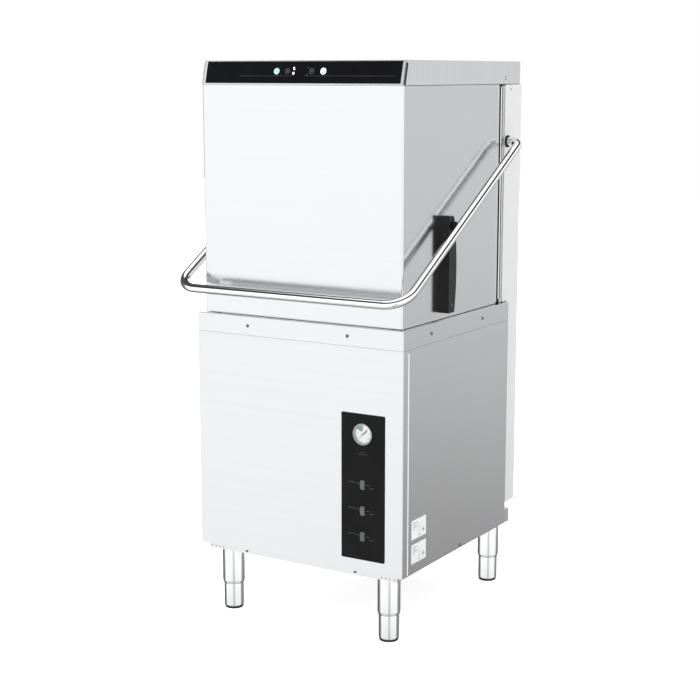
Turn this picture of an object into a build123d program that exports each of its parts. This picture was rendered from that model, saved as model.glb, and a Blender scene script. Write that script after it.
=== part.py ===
from build123d import *
from math import atan2, cos, degrees, sin, tan
import os

# Hood-type commercial dishwasher, closed, standing on four adjustable feet.
# Millimetres, +Z up, front towards -Y. The origin is on the floor, midway between
# the two sides and midway between the handle's front and the column's back.

# ---- driving dimensions: cabinet -------------------------------------------------
cabinet_width = 635
cabinet_depth = 600
cabinet_top = 832
rim_height = 50
panel_bottom = 190
panel_sheet = 1.5
panel_gap = 0.6
front_return = 30
base_bottom = 176
base_height = 40
base_wall = 3
base_inset = 20
base_front = 10

# ---- driving dimensions: legs and feet -------------------------------------------
leg_radius = 30.5
leg_wall = 2.75
leg_bottom = 72
leg_inset = 69
leg_front = 54
leg_rear = cabinet_depth + 33
foot_radius = leg_radius - leg_wall - 0.5
foot_neck = 24
foot_pad_height = 5
foot_insert = 52
gusset = 88
service_half = 215

# ---- driving dimensions: hood ----------------------------------------------------
hood_width = cabinet_width - 28
hood_front = 18
hood_rear = cabinet_depth - 52
hood_sheet = 1.5
hood_gap = 1.5
hood_top = cabinet_top + 601
hood_corner = 5
hood_seam = 1.2
cap_top = hood_top + 62
cap_rear = cabinet_depth + 76
cap_lean = 16
cap_sheet = 1.5
fascia_width = hood_width - 19
fascia_height = 57
fascia_thick = 3
hood_travel = 439

# ---- driving dimensions: column --------------------------------------------------
column_width = cabinet_width - 19
column_rear = cabinet_depth + 79
column_side_front = cabinet_depth - 24
column_face_y = cabinet_depth - 40
column_sheet = 1.5
column_top = hood_top - 0.8
column_bottom = 245
column_gap = 2

# ---- driving dimensions: handle --------------------------------------------------
tube_radius = 12
arm_offset = cabinet_width / 2 + 29.5
handle_front = 53
handle_height = cabinet_top + 72
pivot_y = cabinet_depth - 8
pivot_z = cabinet_top + 446.5
corner_radius = 60
bend_radius = 28
stub_inner = column_width / 2 - 46
bush_bore_clearance = 0.06
bush_flange_radius = tube_radius + 4.5
bush_barrel_radius = tube_radius + 3

# ---- driving dimensions: wash system ---------------------------------------------
tank_width = cabinet_width - 115
tank_length = cabinet_depth - 100
tank_front = 33
tank_floor = cabinet_top - 192
tank_sheet = 1.2
tank_corner = 40
sump_width = 200
sump_depth = 70
arm_length = 470
duct_width = 60
duct_depth = 9
duct_gap = 1
wash_arm_height = cabinet_top - 46
rinse_arm_height = wash_arm_height + 20
upper_wash_height = hood_top - 81
upper_rinse_height = upper_wash_height - 20
hub_radius = 17
hub_clearance = 0.5
spigot_clearance = 0.05

# ---- driving dimensions: controls on the cabinet's front --------------------------
control_width = 128
control_height = 386
control_x = cabinet_width / 2 - 116
control_z = 417
control_thick = 2
control_lap = 8
gauge_z = 557.5
gauge_radius = 28.4
gauge_depth = 24
switch_width = 13.5
switch_length = 26
switch_tops = (424, 355.5, 286.5)

clearance = 0.5
front = -(column_rear - handle_front - tube_radius) / 2
half_cabinet = cabinet_width / 2
half_hood = hood_width / 2
half_column = column_width / 2
rim_bottom = cabinet_top - rim_height
panel_top = rim_bottom - panel_gap
hood_bottom = cabinet_top + hood_gap
back = front + cabinet_depth
sides = (("left", -1), ("right", 1))

os.makedirs("parts", exist_ok=True)


def save(piece, name):
    """Labels a finished piece and writes its STEP file."""
    piece.part.label = name
    export_step(piece.part, f"parts/{name}.step")


def block(x, y, z, mode=Mode.ADD):
    """Adds a box to the open part, from pairs of low and high coordinates."""
    size = [max(pair) - min(pair) for pair in (x, y, z)]
    with Locations((sum(x) / 2, sum(y) / 2, sum(z) / 2)):
        Box(*size, mode=mode)


def rod(centre, radius, length, axis="Z", mode=Mode.ADD):
    """Adds a cylinder that starts at centre and runs along +X, +Y or +Z."""
    turn = {"X": (0, 90, 0), "Y": (-90, 0, 0), "Z": (0, 0, 0)}[axis]
    up = (Align.CENTER, Align.CENTER, Align.MIN)
    with Locations(centre):
        Cylinder(radius, length, rotation=turn, align=up, mode=mode)


def both(x):
    """The same distance on the left and on the right."""
    return (-x, x)


# ==== base frame, legs and feet ===================================================
base_half = half_cabinet - base_inset
base_y = (front + base_front, front + leg_rear + leg_inset / 2)
base_top = base_bottom + base_height
leg_x = half_cabinet - leg_inset
leg_y = (front + leg_front, front + leg_rear)
leg_spots = [(x, y) for y in leg_y for x in both(leg_x)]
service_y = back - 18
service_reach = 36
service_top = base_top + panel_sheet
tab_slot_insets = (8, 22, 34, 46)
tab_slot_width = 2
tab_slot_height = 5
leg_names = ("front_left", "front_right", "rear_left", "rear_right")

with BuildPart() as base_frame:
    block(both(base_half), base_y, (base_bottom, base_top))
    block(
        both(base_half - base_wall),
        (base_y[0] + base_wall, base_y[1] - base_wall),
        (base_bottom, base_top - base_wall),
        Mode.SUBTRACT,
    )
    rail = 3 * base_wall + leg_radius
    block(
        both(base_half - rail),
        (base_y[0] + rail, base_y[1] - rail),
        (base_bottom, base_top),
        Mode.SUBTRACT,
    )
    for x in both(base_half - gusset / 2):
        for y in (base_y[0] + gusset / 2, base_y[1] - gusset / 2):
            block(
                (x - gusset / 2, x + gusset / 2),
                (y - gusset / 2, y + gusset / 2),
                (base_bottom, base_bottom + base_wall),
            )
    for inset in tab_slot_insets:
        for x in both(base_half - inset):
            block(
                (x - tab_slot_width / 2, x + tab_slot_width / 2),
                (base_y[0], base_y[0] + base_wall),
                (base_bottom + base_wall, base_bottom + base_wall + tab_slot_height),
                Mode.SUBTRACT,
            )
    block(both(service_half), (service_y - service_reach, back + service_reach), (base_top, service_top))
save(base_frame, "base_frame")

with BuildPart() as leg_tubes:
    with BuildSketch(Plane.XY.offset(leg_bottom)):
        with Locations(*leg_spots):
            Circle(leg_radius)
            Circle(leg_radius - leg_wall, mode=Mode.SUBTRACT)
    extrude(amount=base_bottom - leg_bottom)
save(leg_tubes, "leg_tubes")

for name, (x, y) in zip(leg_names, leg_spots):
    with BuildPart() as foot:
        with BuildSketch(Plane.XY) as pad_outline:
            with Locations((x, y)):
                Circle(foot_radius)
        extrude(amount=leg_bottom + foot_insert)
        rim_edges = foot.edges().filter_by(GeomType.CIRCLE).group_by(Axis.Z)
        chamfer(rim_edges[0] + rim_edges[-1], foot_pad_height / 2)
        rod((x, y, foot_pad_height), foot_radius, clearance, mode=Mode.SUBTRACT)
        rod((x, y, foot_pad_height), foot_neck, clearance)
    save(foot, f"foot_{name}")

# ==== cabinet shell ===============================================================
tank_y = (front + tank_front, front + tank_front + tank_length)
tank_top = cabinet_top - panel_sheet
tank_lip = 12
duct_back = front + hood_rear - hood_sheet - duct_gap
duct_y = (duct_back - duct_depth, duct_back)
duct_slot = (duct_y[0] - duct_gap, duct_y[1] + duct_gap)

with BuildPart() as rim_frame:
    block(both(half_cabinet), (front, back), (rim_bottom, cabinet_top))
    fillet(rim_frame.edges().filter_by(Axis.Z), panel_sheet * 1.5)
    fillet(rim_frame.faces().sort_by(Axis.Z)[-1].edges(), panel_sheet)
    block(
        both(half_cabinet - panel_sheet),
        (front + panel_sheet, back - panel_sheet),
        (rim_bottom, tank_top),
        Mode.SUBTRACT,
    )
    with BuildSketch(Plane.XY.offset(cabinet_top)):
        with Locations((0, sum(tank_y) / 2)):
            RectangleRounded(tank_width - 2 * tank_sheet, tank_length - 2 * tank_sheet, tank_corner)
    extrude(amount=-2 * panel_sheet, mode=Mode.SUBTRACT)
    block(both(duct_width / 2 + duct_gap), duct_slot, (tank_top, cabinet_top), Mode.SUBTRACT)
save(rim_frame, "rim_frame")

with BuildPart() as front_panel:
    block(both(half_cabinet), (front, front + front_return), (panel_bottom, panel_top))
    fillet(front_panel.edges().filter_by(Axis.Z).group_by(Axis.Y)[0], panel_sheet * 1.5)
    block(
        both(half_cabinet - panel_sheet),
        (front + panel_sheet, front + front_return),
        (panel_bottom + panel_sheet, panel_top),
        Mode.SUBTRACT,
    )
    block(
        both(half_cabinet - panel_sheet),
        (front + base_front, front + front_return),
        (panel_bottom, panel_bottom + panel_sheet),
        Mode.SUBTRACT,
    )
    block(
        (control_x - control_width / 2 + control_lap, control_x + control_width / 2 - control_lap),
        (front, front + panel_sheet),
        (control_z - control_height / 2 + control_lap, control_z + control_height / 2 - control_lap),
        Mode.SUBTRACT,
    )
save(front_panel, "front_panel")

panel_flange = 20
panel_start = front + front_return + panel_gap
for name, sign in sides:
    outer = sign * half_cabinet
    inner = sign * (half_cabinet - panel_sheet)
    flange_x = (sign * (half_cabinet - panel_flange), inner)
    with BuildPart() as side_panel:
        block((outer, inner), (panel_start, back - panel_sheet), (panel_bottom, panel_top))
        block(flange_x, (back - 2 * panel_sheet, back - panel_sheet), (panel_bottom, panel_top))
        block(
            (inner, sign * base_half),
            (panel_start, back - 2 * panel_sheet),
            (panel_bottom, panel_bottom + panel_sheet),
        )
    save(side_panel, f"side_panel_{name}")

with BuildPart() as rear_panel:
    block(both(half_cabinet - panel_sheet), (back - panel_sheet, back), (service_top + panel_gap, panel_top))
save(rear_panel, "rear_panel")

# ==== wash tank with its sump =====================================================
tank_middle = sum(tank_y) / 2
riser_radius = hub_radius - 2
drain_hole = 20
drain_x = -sump_width / 4
drain_y = tank_middle - sump_width / 4
with BuildPart() as wash_tank:
    with BuildSketch(Plane.XY.offset(tank_floor)):
        with Locations((0, tank_middle)):
            RectangleRounded(tank_width, tank_length, tank_corner)
    extrude(amount=tank_top - tank_floor)
    with BuildSketch(Plane.XY.offset(tank_floor - sump_depth)):
        with Locations((0, tank_middle)):
            RectangleRounded(sump_width, sump_width, tank_corner / 2)
    extrude(amount=sump_depth)
    with BuildSketch(Plane.XY.offset(tank_top - tank_sheet)):
        with Locations((0, tank_middle)):
            RectangleRounded(tank_width + 2 * tank_lip, tank_length + 2 * tank_lip, tank_corner + tank_lip)
    extrude(amount=tank_sheet)
    with BuildSketch(Plane.XY.offset(tank_floor + tank_sheet)):
        with Locations((0, tank_middle)):
            RectangleRounded(
                tank_width - 2 * tank_sheet, tank_length - 2 * tank_sheet, tank_corner - tank_sheet
            )
    extrude(amount=tank_top - tank_floor, mode=Mode.SUBTRACT)
    with BuildSketch(Plane.XY.offset(tank_floor - sump_depth + tank_sheet)):
        with Locations((0, tank_middle)):
            RectangleRounded(
                sump_width - 2 * tank_sheet, sump_width - 2 * tank_sheet, tank_corner / 2 - tank_sheet
            )
    extrude(amount=sump_depth, mode=Mode.SUBTRACT)
    block(both(duct_width / 2 + duct_gap), duct_slot, (tank_top - 2 * tank_sheet, cabinet_top), Mode.SUBTRACT)
    under_sump = tank_floor - sump_depth - tank_sheet
    rod((0, tank_middle, under_sump), riser_radius + clearance, 3 * tank_sheet, mode=Mode.SUBTRACT)
    rod((drain_x, drain_y, under_sump), drain_hole, 3 * tank_sheet, mode=Mode.SUBTRACT)
save(wash_tank, "wash_tank")

# ==== strainer, overflow pipe and heater in the tank ===============================
strainer_z = tank_floor + 108
strainer_gap = 4
strainer_rib = 8
strainer_pitch = 20
strainer_columns = 21
strainer_rows = 7
with BuildPart() as tank_strainer:
    strainer_x = both(tank_width / 2 - tank_sheet - strainer_gap)
    strainer_y = (tank_y[0] + tank_sheet + strainer_gap, tank_y[1] - tank_sheet - strainer_gap)
    block(strainer_x, strainer_y, (strainer_z, strainer_z + strainer_rib))
    fillet(tank_strainer.edges().filter_by(Axis.Z), tank_corner - strainer_gap)
    block(
        both(strainer_x[1] - strainer_rib),
        (strainer_y[0] + strainer_rib, strainer_y[1] - strainer_rib),
        (strainer_z + tank_sheet, strainer_z + strainer_rib),
        Mode.SUBTRACT,
    )
    rod((0, tank_middle, strainer_z), riser_radius + strainer_gap, strainer_rib, mode=Mode.SUBTRACT)
    rod((drain_x, drain_y, strainer_z), drain_hole + strainer_gap, strainer_rib, mode=Mode.SUBTRACT)
    with BuildSketch(Plane.XY.offset(strainer_z)):
        with Locations((0, (strainer_y[0] + tank_middle) / 2 - hub_radius)):
            with GridLocations(strainer_pitch, strainer_pitch, strainer_columns, strainer_rows):
                Circle(strainer_pitch / 5)
    extrude(amount=tank_sheet, mode=Mode.SUBTRACT)
save(tank_strainer, "tank_strainer")

overflow_bottom = tank_floor - sump_depth + tank_sheet
overflow_top = tank_floor + 132
overflow_flange = 3
overflow_wall = 2
overflow_radius = drain_hole - 2
with BuildPart() as overflow_pipe:
    rod((drain_x, drain_y, overflow_bottom), overflow_radius, overflow_top - overflow_bottom)
    rod((drain_x, drain_y, overflow_bottom), drain_hole + overflow_flange, overflow_flange)
    overflow_bore = overflow_radius - overflow_wall
    rod((drain_x, drain_y, overflow_bottom), overflow_bore, overflow_top, mode=Mode.SUBTRACT)
save(overflow_pipe, "overflow_pipe")

heater_radius = 5.5
heater_z = tank_floor + 40
heater_reach = 320
with BuildPart() as tank_heater:
    heater_x = tank_width / 2 - tank_corner - 2 * heater_radius
    heater_y = tank_y[0]
    heater_path_x = (heater_x, heater_x - 2 * tank_corner)
    with BuildLine(Plane.XY.offset(heater_z)):
        FilletPolyline(
            (heater_path_x[0], heater_y + tank_sheet),
            (heater_path_x[0], heater_y + heater_reach),
            (heater_path_x[1], heater_y + heater_reach),
            (heater_path_x[1], heater_y + tank_sheet),
            radius=tank_corner - 2 * heater_radius,
        )
    with BuildSketch(Plane.XZ.offset(-heater_y - tank_sheet)):
        with Locations((heater_path_x[0], heater_z)):
            Circle(heater_radius)
    sweep()
save(tank_heater, "tank_heater")

# ==== wash and rinse pipework, with four arms that turn on two hubs ===============
wash_section = (30, 14)
rinse_section = (14, 9)
hub_cap = 3
riser_top = upper_wash_height + 58
lower_spigot_top = rinse_arm_height + rinse_section[1] + 3 * hub_cap
pipe_low = tank_floor - sump_depth - 2 * hub_radius - 4
upper_spigot_low = upper_rinse_height - rinse_section[1] - 5
spigot_radius = riser_radius - 5
with BuildPart() as spray_pipework:
    block(both(duct_width / 2), duct_y, (pipe_low, riser_top))
    rod((0, tank_middle, riser_top - riser_radius), riser_radius, duct_y[0] - tank_middle, "Y")
    rod((0, tank_middle, upper_spigot_low), spigot_radius, riser_top - upper_spigot_low)
    rod((0, tank_middle, pipe_low), spigot_radius, lower_spigot_top - pipe_low)
    rod((0, tank_middle, pipe_low), riser_radius, wash_arm_height - pipe_low - 2 * hub_clearance)
    rod((0, tank_middle, pipe_low + riser_radius), riser_radius, duct_y[0] - tank_middle, "Y")
    rod((0, tank_middle, lower_spigot_top - hub_cap), riser_radius, hub_cap)
    rod((0, tank_middle, upper_spigot_low), riser_radius, hub_cap)
    upper_collar = upper_wash_height + wash_section[1] + 2 + hub_clearance
    rod((0, tank_middle, upper_collar), riser_radius, riser_top - upper_collar)
save(spray_pipework, "spray_pipework")

spigot_bore = spigot_radius + spigot_clearance
jet_width = 2.4
jet_depth = 2
jet_count = 4
jet_pitch = arm_length / 11
arm_nodes = (
    ("wash_arm_lower", wash_arm_height, wash_section, 1),
    ("rinse_arm_lower", rinse_arm_height, rinse_section, 1),
    ("wash_arm_upper", upper_wash_height, wash_section, -1),
    ("rinse_arm_upper", upper_rinse_height, rinse_section, -1),
)
for name, z, (width, height), up in arm_nodes:
    with BuildPart() as arm:
        with BuildSketch(Plane.XY.offset(z)):
            with Locations((0, tank_middle)):
                SlotOverall(arm_length, width)
        extrude(amount=height)
        rod((0, tank_middle, z), hub_radius, height)
        jet_z = z + height if up > 0 else z
        with BuildSketch(Plane.XY.offset(jet_z)):
            for sign in (-1, 1):
                for step in range(1, jet_count + 1):
                    with Locations((sign * (hub_radius + step * jet_pitch), tank_middle)):
                        SlotOverall(width / 2.5, jet_width, rotation=90)
        extrude(amount=-up * jet_depth, mode=Mode.SUBTRACT)
        rod((0, tank_middle, z), spigot_bore, height, mode=Mode.SUBTRACT)
    save(arm, name)

# ==== rack guides on the rim ======================================================
track_z = rinse_arm_height + 40
track_width = 22
track_wall = 2
rack_size = tank_length + 4
with BuildPart() as rack_tracks:
    for _, sign in sides:
        inner_y = tank_middle + sign * rack_size / 2
        shelf_y = sorted((inner_y, inner_y - sign * track_width))
        wall_y = sorted((inner_y, inner_y + sign * track_wall))
        block(both(tank_width / 2), shelf_y, (track_z - track_wall, track_z))
        block(both(tank_width / 2), wall_y, (cabinet_top, track_z + track_width))
    block(both(duct_width / 2 + duct_gap), duct_slot, (cabinet_top, track_z + track_width), Mode.SUBTRACT)
save(rack_tracks, "rack_tracks")

# ==== machinery below the tank ====================================================
pump_radius = 68
pump_length = 62
pump_x = 40
pump_z = 430
pump_y = front + 250
pump_inlet_radius = 26
pump_inlet_length = 34
pump_foot_half = 60
pump_foot_height = 26
pump_sheet = 4
with BuildPart() as wash_pump:
    rod((pump_x, pump_y, pump_z), pump_radius, pump_length, "Y")
    rod((pump_x, pump_y - pump_inlet_length, pump_z), pump_inlet_radius, pump_inlet_length, "Y")
    rod((0, pump_y + pump_length / 2, pump_z), riser_radius + panel_sheet, pipe_low - pump_z)
    block(
        (pump_x - pump_foot_half, pump_x + pump_foot_half),
        (pump_y + pump_sheet, pump_y + pump_length - pump_sheet),
        (pump_z - pump_radius - pump_foot_height / 2, pump_z - pump_radius + pump_foot_height / 2),
    )
save(wash_pump, "wash_pump")

motor_radius = 62
motor_length = 190
motor_y = pump_y + pump_length
fin_count = 6
fin_pitch = 24
fin_width = 8
fin_height = 4
motor_box_half = 36
motor_box_length = 100
motor_box_top = 92
with BuildPart() as pump_motor:
    rod((pump_x, motor_y, pump_z), motor_radius, motor_length, "Y")
    for step in range(fin_count):
        fin_y = motor_y + fin_pitch * (step + 1)
        rod((pump_x, fin_y, pump_z), motor_radius + fin_height, fin_width, "Y")
    block(
        (pump_x - motor_box_half, pump_x + motor_box_half),
        (motor_y + fin_pitch, motor_y + fin_pitch + motor_box_length),
        (pump_z, pump_z + motor_box_top),
    )
save(pump_motor, "pump_motor")

booster_radius = 84
booster_height = 290
booster_x = -half_cabinet + 117.5
booster_y = back - 160
booster_edge = 16
booster_neck_radius = 14
booster_neck_height = 40
with BuildPart() as booster_tank:
    rod((booster_x, booster_y, base_top + clearance), booster_radius, booster_height)
    fillet(booster_tank.edges().filter_by(GeomType.CIRCLE), booster_edge)
    rod((booster_x, booster_y, base_top + booster_height - 1), booster_neck_radius, booster_neck_height)
save(booster_tank, "booster_tank")

box_x = (70, 300)
box_y = (front + 70, front + 190)
box_z = (base_top + 6, tank_floor - sump_depth - 20)
lid_inset = 4
lid_depth = 2
with BuildPart() as control_box:
    block(box_x, box_y, box_z)
    fillet(control_box.edges().filter_by(Axis.Z), 1.5 * lid_inset)
    block(
        (box_x[0] + lid_inset, box_x[1] - lid_inset),
        (box_y[0], box_y[0] + lid_depth),
        (box_z[0] + 3 * lid_inset, box_z[1] - 3 * lid_inset),
        Mode.SUBTRACT,
    )
save(control_box, "control_box")

dosing_x = (-250, -170, -90)
dosing_y = front + 60
dosing_z = base_top + 170
dosing_half = 32
dosing_depth = 70
dosing_rise = 45
dosing_head_radius = 26
dosing_head_depth = 16
with BuildPart() as dosing_pumps:
    for x in dosing_x:
        block(
            (x - dosing_half, x + dosing_half),
            (dosing_y, dosing_y + dosing_depth),
            (dosing_z - dosing_rise, dosing_z + dosing_rise),
        )
        rod((x, dosing_y - dosing_head_depth, dosing_z), dosing_head_radius, dosing_head_depth, "Y")
save(dosing_pumps, "dosing_pumps")

# ==== service connections under the back ==========================================
inlet_x = -160
inlet_radius = 13.2
inlet_wall = 4
inlet_length = 20
outlet_x = -60
outlet_radius = 20
outlet_wall = 2.5
outlet_length = 36
gland_x = 160
gland_bore = 8
gland_radius = 12.5
gland_nut_radius = 16
gland_nut_height = 8
gland_length = 22
collar = 5
collar_height = 4

with BuildPart() as water_inlet:
    rod((inlet_x, service_y, base_top - inlet_length), inlet_radius, inlet_length)
    rod((inlet_x, service_y, base_top - collar_height), inlet_radius + collar, collar_height)
    inlet_bore = inlet_radius - inlet_wall
    rod((inlet_x, service_y, base_top - inlet_length), inlet_bore, inlet_length, mode=Mode.SUBTRACT)
save(water_inlet, "water_inlet")

with BuildPart() as drain_outlet:
    rod((outlet_x, service_y, base_top - outlet_length), outlet_radius, outlet_length)
    rod((outlet_x, service_y, base_top - collar_height), outlet_radius + collar, collar_height)
    outlet_bore = outlet_radius - outlet_wall
    rod((outlet_x, service_y, base_top - outlet_length), outlet_bore, outlet_length, mode=Mode.SUBTRACT)
save(drain_outlet, "drain_outlet")

with BuildPart() as cable_gland:
    with BuildSketch(Plane.XY.offset(base_top)):
        with Locations((gland_x, service_y)):
            RegularPolygon(gland_nut_radius, 6)
    extrude(amount=-gland_nut_height)
    rod((gland_x, service_y, base_top - gland_length), gland_radius, gland_length)
    rod((gland_x, service_y, base_top - gland_length), gland_bore, gland_length, mode=Mode.SUBTRACT)
save(cable_gland, "cable_gland")

# ==== lower control panel: plate, gauge and rocker switches =======================
switch_gap = 0.4
switch_crown = 2.6
switch_edge = 1
switch_pin_radius = 0.8
switch_pin_reach = 0.25
plate_corner = 3
plate_y = (front - control_thick, front)
bezel = 3
bezel_lap = 2
bezel_stand = 3
bezel_edge = 0.8
with BuildPart() as control_panel:
    block(
        (control_x - control_width / 2, control_x + control_width / 2),
        plate_y,
        (control_z - control_height / 2, control_z + control_height / 2),
    )
    fillet(control_panel.edges().filter_by(Axis.Y), plate_corner)
    rod((control_x, plate_y[0], gauge_z), gauge_radius - bezel_lap, control_thick, "Y", Mode.SUBTRACT)
    for z in switch_tops:
        block(
            (control_x - switch_width / 2, control_x + switch_width / 2),
            plate_y,
            (z - switch_length / 2, z + switch_length / 2),
            Mode.SUBTRACT,
        )
save(control_panel, "control_panel")

gauge_front = plate_y[0] - bezel_stand
with BuildPart() as gauge_case:
    rod((control_x, gauge_front, gauge_z), gauge_radius, bezel_stand, "Y")
    fillet(gauge_case.faces().sort_by(Axis.Y)[0].edges(), bezel_edge)
    rod((control_x, plate_y[0], gauge_z), gauge_radius - bezel_lap - clearance, gauge_depth, "Y")
    rod((control_x, gauge_front, gauge_z), gauge_radius - bezel, gauge_depth / 2, "Y", Mode.SUBTRACT)
save(gauge_case, "gauge_case")

dial_thick = 5
dial_y = gauge_front + gauge_depth / 2 - dial_thick
spindle_radius = 1.5
spindle_length = 3
with BuildPart() as gauge_dial:
    rod((control_x, dial_y, gauge_z), gauge_radius - bezel, dial_thick, "Y")
    rod((control_x, dial_y - spindle_length, gauge_z), spindle_radius, spindle_length, "Y")
save(gauge_dial, "gauge_dial")

needle_length = 18
needle_tail = 6
needle_hub = 3
needle_width = 1.2
needle_thick = 0.8
needle_stand = 2.4
needle_rest = 132  # the tip rests at the cold end, low on the left
with BuildPart() as gauge_needle:
    with BuildSketch(Plane.XZ.offset(-dial_y + needle_stand)):
        with Locations(Location((control_x, gauge_z), needle_rest)):
            Circle(needle_hub)
            with Locations((0, (needle_length - needle_tail) / 2)):
                Rectangle(needle_width, needle_length + needle_tail)
    extrude(amount=-needle_thick)
    needle_bore = spindle_radius + spigot_clearance
    rod((control_x, dial_y - needle_hub, gauge_z), needle_bore, needle_hub, "Y", Mode.SUBTRACT)
save(gauge_needle, "gauge_needle")

lens_inset = 0.6
lens_thick = 1.6
with BuildPart() as gauge_lens:
    rod((control_x, gauge_front + lens_inset, gauge_z), gauge_radius - bezel, lens_thick, "Y")
save(gauge_lens, "gauge_lens")

switch_numbers = ("upper", "middle", "lower")
for name, z in zip(switch_numbers, switch_tops):
    with BuildPart() as switch:
        half = (switch_length - 2 * switch_gap) / 2
        crown = Plane.YZ.offset(control_x - switch_width / 2 + switch_gap)
        with BuildSketch(crown):
            with BuildLine():
                edge = plate_y[0] - switch_edge
                tip = half - clearance
                root = half - 3 * clearance
                ThreePointArc((edge, z - tip), (edge - switch_crown, z), (edge, z + tip))
                Polyline((edge, z + tip), (plate_y[1], z + root), (plate_y[1], z - root), (edge, z - tip))
            make_face()
        extrude(amount=switch_width - 2 * switch_gap)
        pin_x = control_x - switch_width / 2 + switch_gap - switch_pin_reach
        pin_run = switch_width - 2 * (switch_gap - switch_pin_reach)
        rod((pin_x, sum(plate_y) / 2, z), switch_pin_radius, pin_run, "X")
    save(switch, f"prime_switch_{name}")

plate_width = 77
plate_height = 51
plate_thick = 0.6
plate_start = front + 48
with BuildPart() as rating_plates:
    for z in (307, 242.5):
        block(
            (half_cabinet, half_cabinet + plate_thick),
            (plate_start, plate_start + plate_width),
            (z - plate_height / 2, z + plate_height / 2),
        )
save(rating_plates, "rating_plates")

# ==== screws on the cabinet =======================================================
screw_radius = 5
screw_head = 2
screw_edge = 0.5
rim_screw_x = 154
rim_screw_z = rim_bottom + rim_height / 2
rim_screw_y = (front + 146, back - 163)
base_screw_x = 172
base_screw_z = 184.5
side_screw_y = front + 318
side_screw_z = panel_bottom + 9
cover_screw_radius = 2.5
cover_screw_y = front + pivot_y + 18
cover_screw_z = column_top - 12
with BuildPart() as cabinet_screws:
    for x in both(rim_screw_x):
        rod((x, front - screw_head, rim_screw_z), screw_radius, screw_head, "Y")
    for x in both(base_screw_x):
        base_screw_radius = screw_radius - clearance
        rod((x, base_y[0] - screw_head, base_screw_z), base_screw_radius, screw_head, "Y")
    for x in (half_cabinet, -half_cabinet - screw_head):
        for y in rim_screw_y:
            rod((x, y, rim_screw_z), screw_radius, screw_head, "X")
        rod((x, side_screw_y, side_screw_z), screw_radius, screw_head, "X")
    for x in (half_column, -half_column - screw_head / 2):
        rod((x, cover_screw_y, cover_screw_z), cover_screw_radius, screw_head / 2, "X")
    chamfer(cabinet_screws.edges().filter_by(GeomType.CIRCLE), screw_edge / 2)
save(cabinet_screws, "cabinet_screws")

# ==== column: cover, face, frame and guide rails ==================================
step_z = cabinet_top + hood_gap
cover_back = front + column_rear
cover_low_front = back + column_gap
pivot = (front + pivot_y, pivot_z)
bush_hole = bush_barrel_radius + clearance / 2

with BuildPart() as column_cover:
    with BuildSketch(Plane.YZ.offset(-half_column)):
        with BuildLine():
            Polyline(
                (front + column_side_front, step_z),
                (front + column_side_front, column_top),
                (cover_back, column_top),
                (cover_back, column_bottom),
                (cover_low_front, column_bottom),
                (cover_low_front, step_z),
                close=True,
            )
        make_face()
    extrude(amount=column_width)
    fillet(column_cover.edges().filter_by(Axis.Z).group_by(Axis.Y)[-1], 2 * column_sheet)
    block(
        both(half_column - column_sheet),
        (front + column_side_front - 1, cover_back - column_sheet),
        (column_bottom, column_top - column_sheet),
        Mode.SUBTRACT,
    )
    rod((-half_column, *pivot), bush_hole, column_width, "X", Mode.SUBTRACT)
save(column_cover, "column_cover")

rail_x = half_column - 108
rail_width = 24
rail_wall = 2
rail_y = (front + column_face_y + 6, front + column_face_y + 8 + rail_width)
rail_mouth = 12
glide_height = 120
glide_bottom = hood_bottom + 11.5
face_half = half_column - column_sheet - clearance
slot_half = 7
slot_spare = 6
with BuildPart() as column_face:
    face_z = (step_z, column_top - 2 * column_sheet)
    block(both(face_half), (front + column_face_y, front + column_side_front - clearance), face_z)
    block(
        both(face_half - column_sheet),
        (front + column_face_y + column_sheet, front + column_side_front),
        face_z,
        Mode.SUBTRACT,
    )
    slot_z = (glide_bottom - slot_spare, glide_bottom + glide_height + hood_travel + slot_spare)
    for x in both(rail_x):
        block(
            (x - slot_half, x + slot_half),
            (front + column_face_y, front + column_side_front),
            slot_z,
            Mode.SUBTRACT,
        )
save(column_face, "column_face")

with BuildPart() as guide_rails:
    rail_z = (step_z + 4, column_top - 4)
    half_rail = rail_width / 2
    for x in both(rail_x):
        block((x - half_rail, x + half_rail), rail_y, rail_z)
        block(
            (x - half_rail + rail_wall, x + half_rail - rail_wall),
            (rail_y[0] + rail_wall, rail_y[1] - rail_wall),
            rail_z,
            Mode.SUBTRACT,
        )
        block(
            (x - rail_mouth / 2, x + rail_mouth / 2),
            (rail_y[0], rail_y[0] + rail_wall),
            rail_z,
            Mode.SUBTRACT,
        )
save(guide_rails, "guide_rails")

upright_x = rail_x + 35
upright_width = 30
upright_y = (rail_y[1] + 12, rail_y[1] + 48)
upright_wall = 3
bar_height = 30
anchor_top = cabinet_top - 130
anchor_height = 12
pin_end = half_column - 16
with BuildPart() as column_frame:
    for sign in (-1, 1):
        x = sign * upright_x
        half_upright = upright_width / 2
        block((x - half_upright, x + half_upright), upright_y, (base_top, rail_z[1]))
        channel_x = sorted((x - sign * (half_upright - upright_wall), x + sign * half_upright))
        channel_y = (upright_y[0] + upright_wall, upright_y[1] - upright_wall)
        block(channel_x, channel_y, (base_top, rail_z[1]), Mode.SUBTRACT)
    for z in (rail_z[0], (sum(rail_z) - bar_height) / 2, rail_z[1] - bar_height):
        block(both(upright_x + upright_width / 2), (rail_y[1], upright_y[0]), (z, z + bar_height))
    block(both(pin_end), (upright_y[1], upright_y[1] + 24), (anchor_top - anchor_height, anchor_top))
save(column_frame, "column_frame")

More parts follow.
